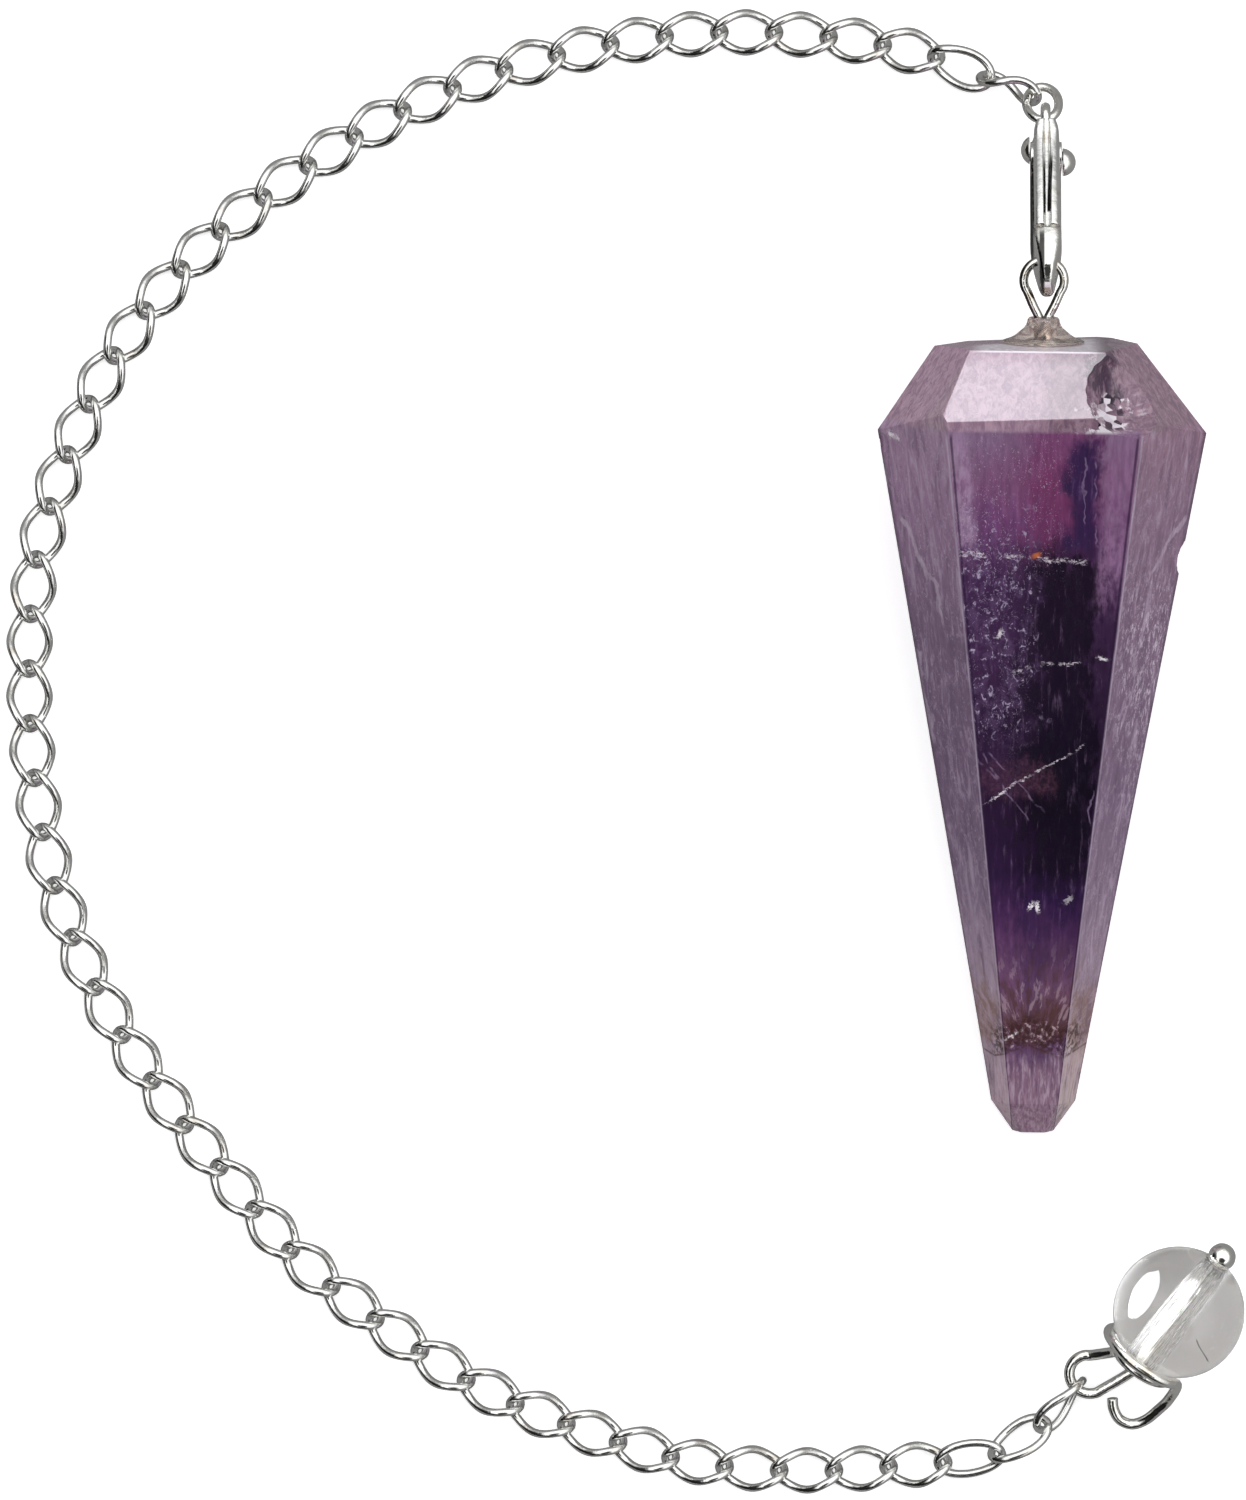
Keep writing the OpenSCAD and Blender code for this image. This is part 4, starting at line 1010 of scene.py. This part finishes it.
side_colour = painted(
    right_half.blend(side_left, side_right),
    (slant_streaks.span(0.30, 0.52, 0.5, 0.0), (84, 60, 92)),
    (slant_streaks.span(0.53, 0.72, 0.0, 0.55), (198, 178, 202)),
    (clouds.span(0.48, 0.70, 0.0, 0.45), (188, 164, 194)),
    (clouds.span(0.28, 0.46, 0.4, 0.0), (96, 72, 104)),
    (fine.span(0.56, 0.72, 0.0, 0.4) * warp.span(0.42, 0.6), (212, 196, 214)),
    *((vein, (206, 188, 208)) for vein in veins),
    (mottled * wy.span(-22.0, -14.0, 0.45, 0.9), (220, 204, 222)),
    # Painted shade: a dark line along the outer edges of the side facets.
    (across.span(9.62, 9.86) * ragged.span(0.3, 0.6, 0.35, 0.8), (84, 64, 88)),
    (sy.span(0.4, 1.0) * 0.9, right_half.blend(left_crown, right_crown)))
side = across.span(FACET_WIDTH / 2 - 0.08, FACET_WIDTH / 2 + 0.08).math("MAXIMUM", sy.span(0.6, 0.9))
colour = side.blend(colour, side_colour)
print("with its sides:", len(stone.tree.nodes), "nodes")

# %% Specks and haze
haze = stone_mm.moved(0.3, (1.0, 0.7, 1.0)).noise(1.3, 5.0, 0.65, 0.8)
speck = stone_mm.moved(0.3, (1.75, 1.25, 1.75)).noise(1.5, 4.0, 0.62, 1.2).span(0.57, 0.67) * haze.span(0.38, 0.55)
tiny = stone_mm.moved(-0.4, (6.0, 3.6, 6.0)).noise(1.3, 3.0, 0.6, 1.5).span(0.60, 0.68) * warp.span(0.38, 0.56)
inner = side * -1.0 + 1.0
left_cluster = patch(wx, wy, -6.0, -0.6, -18.0, -4.5, 0.6, 2.5) * inner
wide_cluster = patch(wx, wy, -6.0, 1.5, -8.0, 0.6, 1.2, 2.0) * inner
colour = painted(
    colour,
    (left_cluster * haze.span(0.44, 0.66) * 0.4, (112, 86, 126)),
    (left_cluster * speck * 0.75, (206, 192, 222)),
    (left_cluster * tiny * 0.55, (206, 192, 222)),
    (wide_cluster * tiny * 0.55, (206, 186, 206)),
    (side * tiny * 0.22, (226, 214, 226)),
    (patch(wx, wy, -3.4, 0.4, -21.6, -19.6, 0.7, 0.6) * inner * fine.span(0.35, 0.7, 0.1, 0.45), (112, 72, 92)))
print("with specks:", len(stone.tree.nodes), "nodes")

# %% Healed fractures, threads, nicks and two painted glints
jagged_y, shaky_x = sy.swayed(fine, 0.05).swayed(warp, 0.15), sx.swayed(stone_mm.noise(7.0), 0.12)
dots = stone_mm.moved(scale=(3.0, 4.5, 3.0)).noise(1.6, 3.0, 0.6, 0.8).span(0.50, 0.56)
flaws = stone_mm.noise(1.1).span(0.40, 0.60)
# Rows of a line: its two ends in the front view, and for some its width and its strength.
FRACTURES = [((-5.2, -6.6), (2.6, -7.1), 0.24, 0.75), ((-1.6, -13.9), (2.3, -13.3), 0.18, 0.75),
             ((-3.5, -22.2), (2.6, -18.5), 0.11, 1.0), ((-4.3, -22.3), (-3.4, -22.0), 0.08, 0.8)]
THREADS = [((-4.8, -18.2), (-0.2, -23.4)), ((-4.2, -18.0), (-2.2, -21.2)), ((-3.2, -19.0), (0.4, -22.6)),
           ((3.2, -21.0), (3.0, -29.0)), ((3.0, -1.0), (3.2, -6.5)), ((2.5, -0.5), (2.4, -5.5))]
NICKS_AND_GLINTS = [((-0.45, -28.6), (-0.28, -28.2), 0.11, 1.0), ((0.05, -28.7), (-0.05, -28.2), 0.13, 1.0),
         ((1.7, -28.3), (2.1, -27.9), 0.13, 0.4), ((3.5, -12.9), (4.0, -13.1), 0.11, 0.9),
         ((-2.6, -11.9), (-2.4, -11.6), 0.17, 0.8), ((-1.9, -36.9), (-0.9, -36.3), 0.1, 0.9),
         # The last two rows are painted highlights: white glints at the left corner of the girdle.
         ((-9.25, -0.1), (-9.0, -0.4), 0.16, 0.9), ((-8.85, -0.2), (-8.7, -0.45), 0.12, 0.8)]
for start, end, width, strength in FRACTURES:
    line = stroke(sx, jagged_y, start, end, width) * inner * strength
    thread = stroke(sx, jagged_y, start, end, 0.35 * width) * inner * flaws * (0.7 - 2.0 * width)
    colour = painted(colour, (line * dots * flaws, (240, 230, 240)), (thread, (196, 176, 200)))
colour = painted(
    colour,
    *((stroke(bent_x, sy, *ends, 0.07) * inner * flaws * 0.4, (160, 134, 172)) for ends in THREADS),
    *((stroke(shaky_x, jagged_y, *line) * strength, (246, 238, 246)) for *line, strength in NICKS_AND_GLINTS),
    (stroke(sx, sy, (-0.6, -6.9), (-0.15, -6.7), 0.2) * inner * 0.9, (196, 104, 52)))
print("with fractures:", len(stone.tree.nodes), "nodes")

# %% Painted shade and glints in the crown's chip, and a painted reflection on the front of the table
shards = stone_mm.moved((0.4, 0.2, 0.6), (1.6, 2.6, 1.6)).cells(1.0, "Color")
# Painted highlight and shade: bright glints and dark shards on the chip's broken faces.
glint = patch(wx, wy, 2.6, 4.9, 0.1, 2.7, 0.3, 0.3) * shards.span(0.46, 0.62) * side
painted_shard_shade = patch(wx, wy, 3.0, 4.9, 0.5, 2.9, 0.2, 0.2) * shards.fade(0.36, 0.44) * side
# Painted reflection: the front of the table is painted near white, as if it mirrored a bright light.
painted_table_reflection = patch(sx, sy, -4.1, 3.2, 5.30, 9.0, 0.7, 0.04) * clouds.span(0.3, 0.7, 1.0, 0.8)
colour = painted(
    colour,
    # Painted shade: a darker crescent in the chip's hollow.
    (patch(wx, sy, 2.9, 4.3, 2.4, 5.6, 0.4, 0.5) * side * 0.85, (58, 34, 62)),
    (glint, (236, 228, 238)),
    (painted_shard_shade * 0.95, (40, 22, 46)),
    (painted_table_reflection * sz.span(-6.0, 0.0, 0.3, 1.0), (240, 232, 242)))
print("with the chip and the table:", len(stone.tree.nodes), "nodes")

# %% Brown needles near the tip
NEEDLE_ROOT = (-0.3, -38.6)
from_x, from_y = sx - NEEDLE_ROOT[0], sy - NEEDLE_ROOT[1]
fan = from_x.math("ARCTAN2", from_y)
reach = (from_x * from_x + from_y * from_y).math("SQRT")
needles = fan.through("ShaderNodeCombineXYZ", {"X": fan * 14.0, "Y": reach * 0.7, "Z": sz}).noise(1.0, 4.0, 0.6, 0.2)
needle_zone = reach.span(1.4, 2.0) * reach.fade(3.5, 9.0) * sy.span(-37.2, -36.6) * abs(fan).span(0.7, 1.3, 1.0, 0.25)
colour = painted(
    colour,
    (needle_zone * needles.span(0.50, 0.60) * 0.75, side.blend((84, 56, 54), (134, 102, 98))),
    (needle_zone * needles.fade(0.38, 0.44) * 0.45, (190, 164, 178)))
print("with needles:", len(stone.tree.nodes), "nodes")

# %% Crumbs and streaks of the tip
zigzag = sy + (sx + 2.4).math("PINGPONG", 2.0) * -0.42
crumbs = stone_mm.noise(3.4, 4.0)
tip, tip_streaks = sy.fade(-38.4, -37.4), stone_mm.moved(-0.55, (4.5, 0.5, 4.5)).noise(1.2, 4.0, 0.6, 0.3)
colour = painted(
    colour,
    (patch(sx, zigzag, -2.6, 2.9, -37.9, -36.1, 0.5, 0.35) * crumbs.span(0.47, 0.56) * 0.8, (62, 38, 38)),
    (patch(sx, zigzag, -2.4, 2.4, -37.8, -36.0, 0.4, 0.3) * crumbs.fade(0.35, 0.40) * 0.6, (214, 190, 196)),
    (zigzag.near(-37.95, 0.03, 0.10) * ragged.span(0.35, 0.5) * 0.7, (78, 50, 48)),
    (tip * tip_streaks.span(0.45, 0.68) * 0.5, (206, 184, 202)),
    (tip * tip_streaks.fade(0.30, 0.45) * 0.55, (92, 66, 96)))
print("with the tip:", len(stone.tree.nodes), "nodes")

# %% Painted shade and highlight lines where facets meet, and polish
edge = across - FACET_WIDTH / 2
below = sy.fade(0.3, 0.7)
painted_edge_highlight = edge.near(0.10, 0.02, 0.10) * below * long_streaks.span(0.35, 0.6, 0.2, 0.7)
colour = painted(
    colour,
    # Painted shade: a dark line just inside each edge of the front facet, and a painted highlight just outside it.
    (edge.near(-0.16, 0.03, 0.12) * below * 0.7, (44, 26, 56)),
    (painted_edge_highlight, (196, 178, 204)))
stone.set(Base_Color=colour, Roughness=ragged.span(0.3, 0.7, 0.10, 0.28),
          Coat_Normal=(warp + fine * 0.03).bump(0.00003),
          Coat_Weight=(sy.span(0.4, 0.8) * sz.span(4.0, 5.5)).math("MAXIMUM", 0.25))
stone_surface = from_stone(stone_points * [1, -1, 1]), stone_faces
amethyst = add_piece("amethyst_facets", stone_surface, stone.material, "amethyst", "amethyst_point")
amethyst.data.set_sharp_from_angle(angle=math.radians(25))
even = amethyst.modifiers.new("even_facets", "WEIGHTED_NORMAL")
even.weight, even.keep_sharp = 100, True
print("whole finish of the stone:", len(stone.tree.nodes), "nodes")

# %% [markdown]
# ## Table, sky and lamps
#
# The photograph was taken on a white surface in a bright tent, with hardly a shadow. Glass and metal show what is
# round them, so the tent's own darker openings matter: they draw the grey lines along every wire. For the same
# reason the board is a plain grey card to the reflections, and shines a little towards the camera only.

# %% White surface
FLOOR_HALF, FLOOR_LEVEL = 1.5, -0.00002
floor_mesh = bpy.data.meshes.new("floor")
board_corners = [(x * FLOOR_HALF, y * FLOOR_HALF, FLOOR_LEVEL) for x, y in ((-1, -1), (1, -1), (1, 1), (-1, 1))]
floor_mesh.from_pydata(board_corners, [], [(0, 1, 2, 3)])
floor = linked("floor", floor_mesh)
paper = Finish("white_board", Roughness=0.9, Specular_IOR_Level=0.0, Emission_Color=rgb(255, 255, 255))
camera_ray, glossy_ray, glass_ray = (paper.place.through("ShaderNodeLightPath", {}, out="Is " + kind + " Ray")
                                     for kind in ("Camera", "Glossy", "Transmission"))
board = paper.place.noise(900.0).blend((250, 250, 250), (254, 254, 254))
card = glass_ray.blend((150, 150, 150), (220, 218, 216))
paper.set(Base_Color=glossy_ray.blend(board, card), Emission_Strength=camera_ray * 0.55)
floor_mesh.materials.append(paper.material)
print("floor is", floor.dimensions.x, "m wide")

# %% Sky of the tent
scene = bpy.context.scene
world = bpy.data.worlds.new("tent")
world.use_nodes = True
scene.world = world
tree = world.node_tree
direction = Field(tree, tree.nodes.new("ShaderNodeTexCoord").outputs["Generated"])


def towards(*vector):
    """Cosine between the seen direction and a fixed one."""
    fixed = unit(np.array(vector, float)).tolist()
    return direction.through("ShaderNodeVectorMath", {0: direction, 1: fixed}, out="Value", operation="DOT_PRODUCT")


height = towards(0, 0, 1)
low_dark = towards(-0.78, -0.62, 0.0).span(0.05, 0.55) * height.fade(0.50, 0.80)
darkness = low_dark.math("MAXIMUM", towards(0.0, -0.5, 0.87).span(0.88, 0.96))
light = darkness.span(0.0, 1.0, 1.0, 0.03) * height.span(0.20, 0.75, 0.30, 1.42)
fill(next(n for n in tree.nodes if n.type == "BACKGROUND"), {"Strength": light, "Color": (1.0, 1.0, 1.0, 1.0)})
print("world nodes:", len(tree.nodes))

# %% Lamps: one that lights the front crown facet, one for the bead
DAYLIGHT = (0.93, 0.95, 1.0)


def soft_lamp(name, lit, target, towards_lamp, distance, width, height, power):
    """Oval lamp at target + distance times a direction, turned back to its target, which shines on one piece only."""
    data = bpy.data.lights.new(name, "AREA")
    data.shape, data.size, data.size_y, data.energy = "ELLIPSE", width, height, power
    data.color = DAYLIGHT
    lamp = linked(name, data)
    receivers = bpy.data.collections.new(name + "_receivers")
    receivers.objects.link(lit)
    lamp.light_linking.receiver_collection = receivers
    way = unit(np.array(towards_lamp, float))
    lamp.location = (np.array(target) + way * distance).tolist()
    lamp.rotation_euler = mathutils.Vector(way.tolist()).to_track_quat("Z", "Y").to_euler()


front_crown = crown_planes[np.argmin(crown_planes[:6, 1])][:3]
facet_normal = unit(np.array(front_crown)[None] @ np.stack([stone_across, -stone_front, stone_along]))[0]
mirror_way = 2 * facet_normal[2] * facet_normal - [0, 0, 1]
soft_lamp("crown_softbox", amethyst, girdle / 1000, mirror_way, distance=0.5, width=0.20, height=0.20, power=0.30)
soft_lamp("bead_softbox", bead, bead_middle / 1000, (-0.87, 0.46, 0.08), distance=0.030, width=0.043, height=0.042,
          power=0.062)
print("front crown facet faces", facet_normal.round(3).tolist(), "and mirrors", mirror_way.round(3).tolist())

# %% Look of the picture
scene.view_settings.view_transform = "Standard"
scene.view_settings.look = "None"
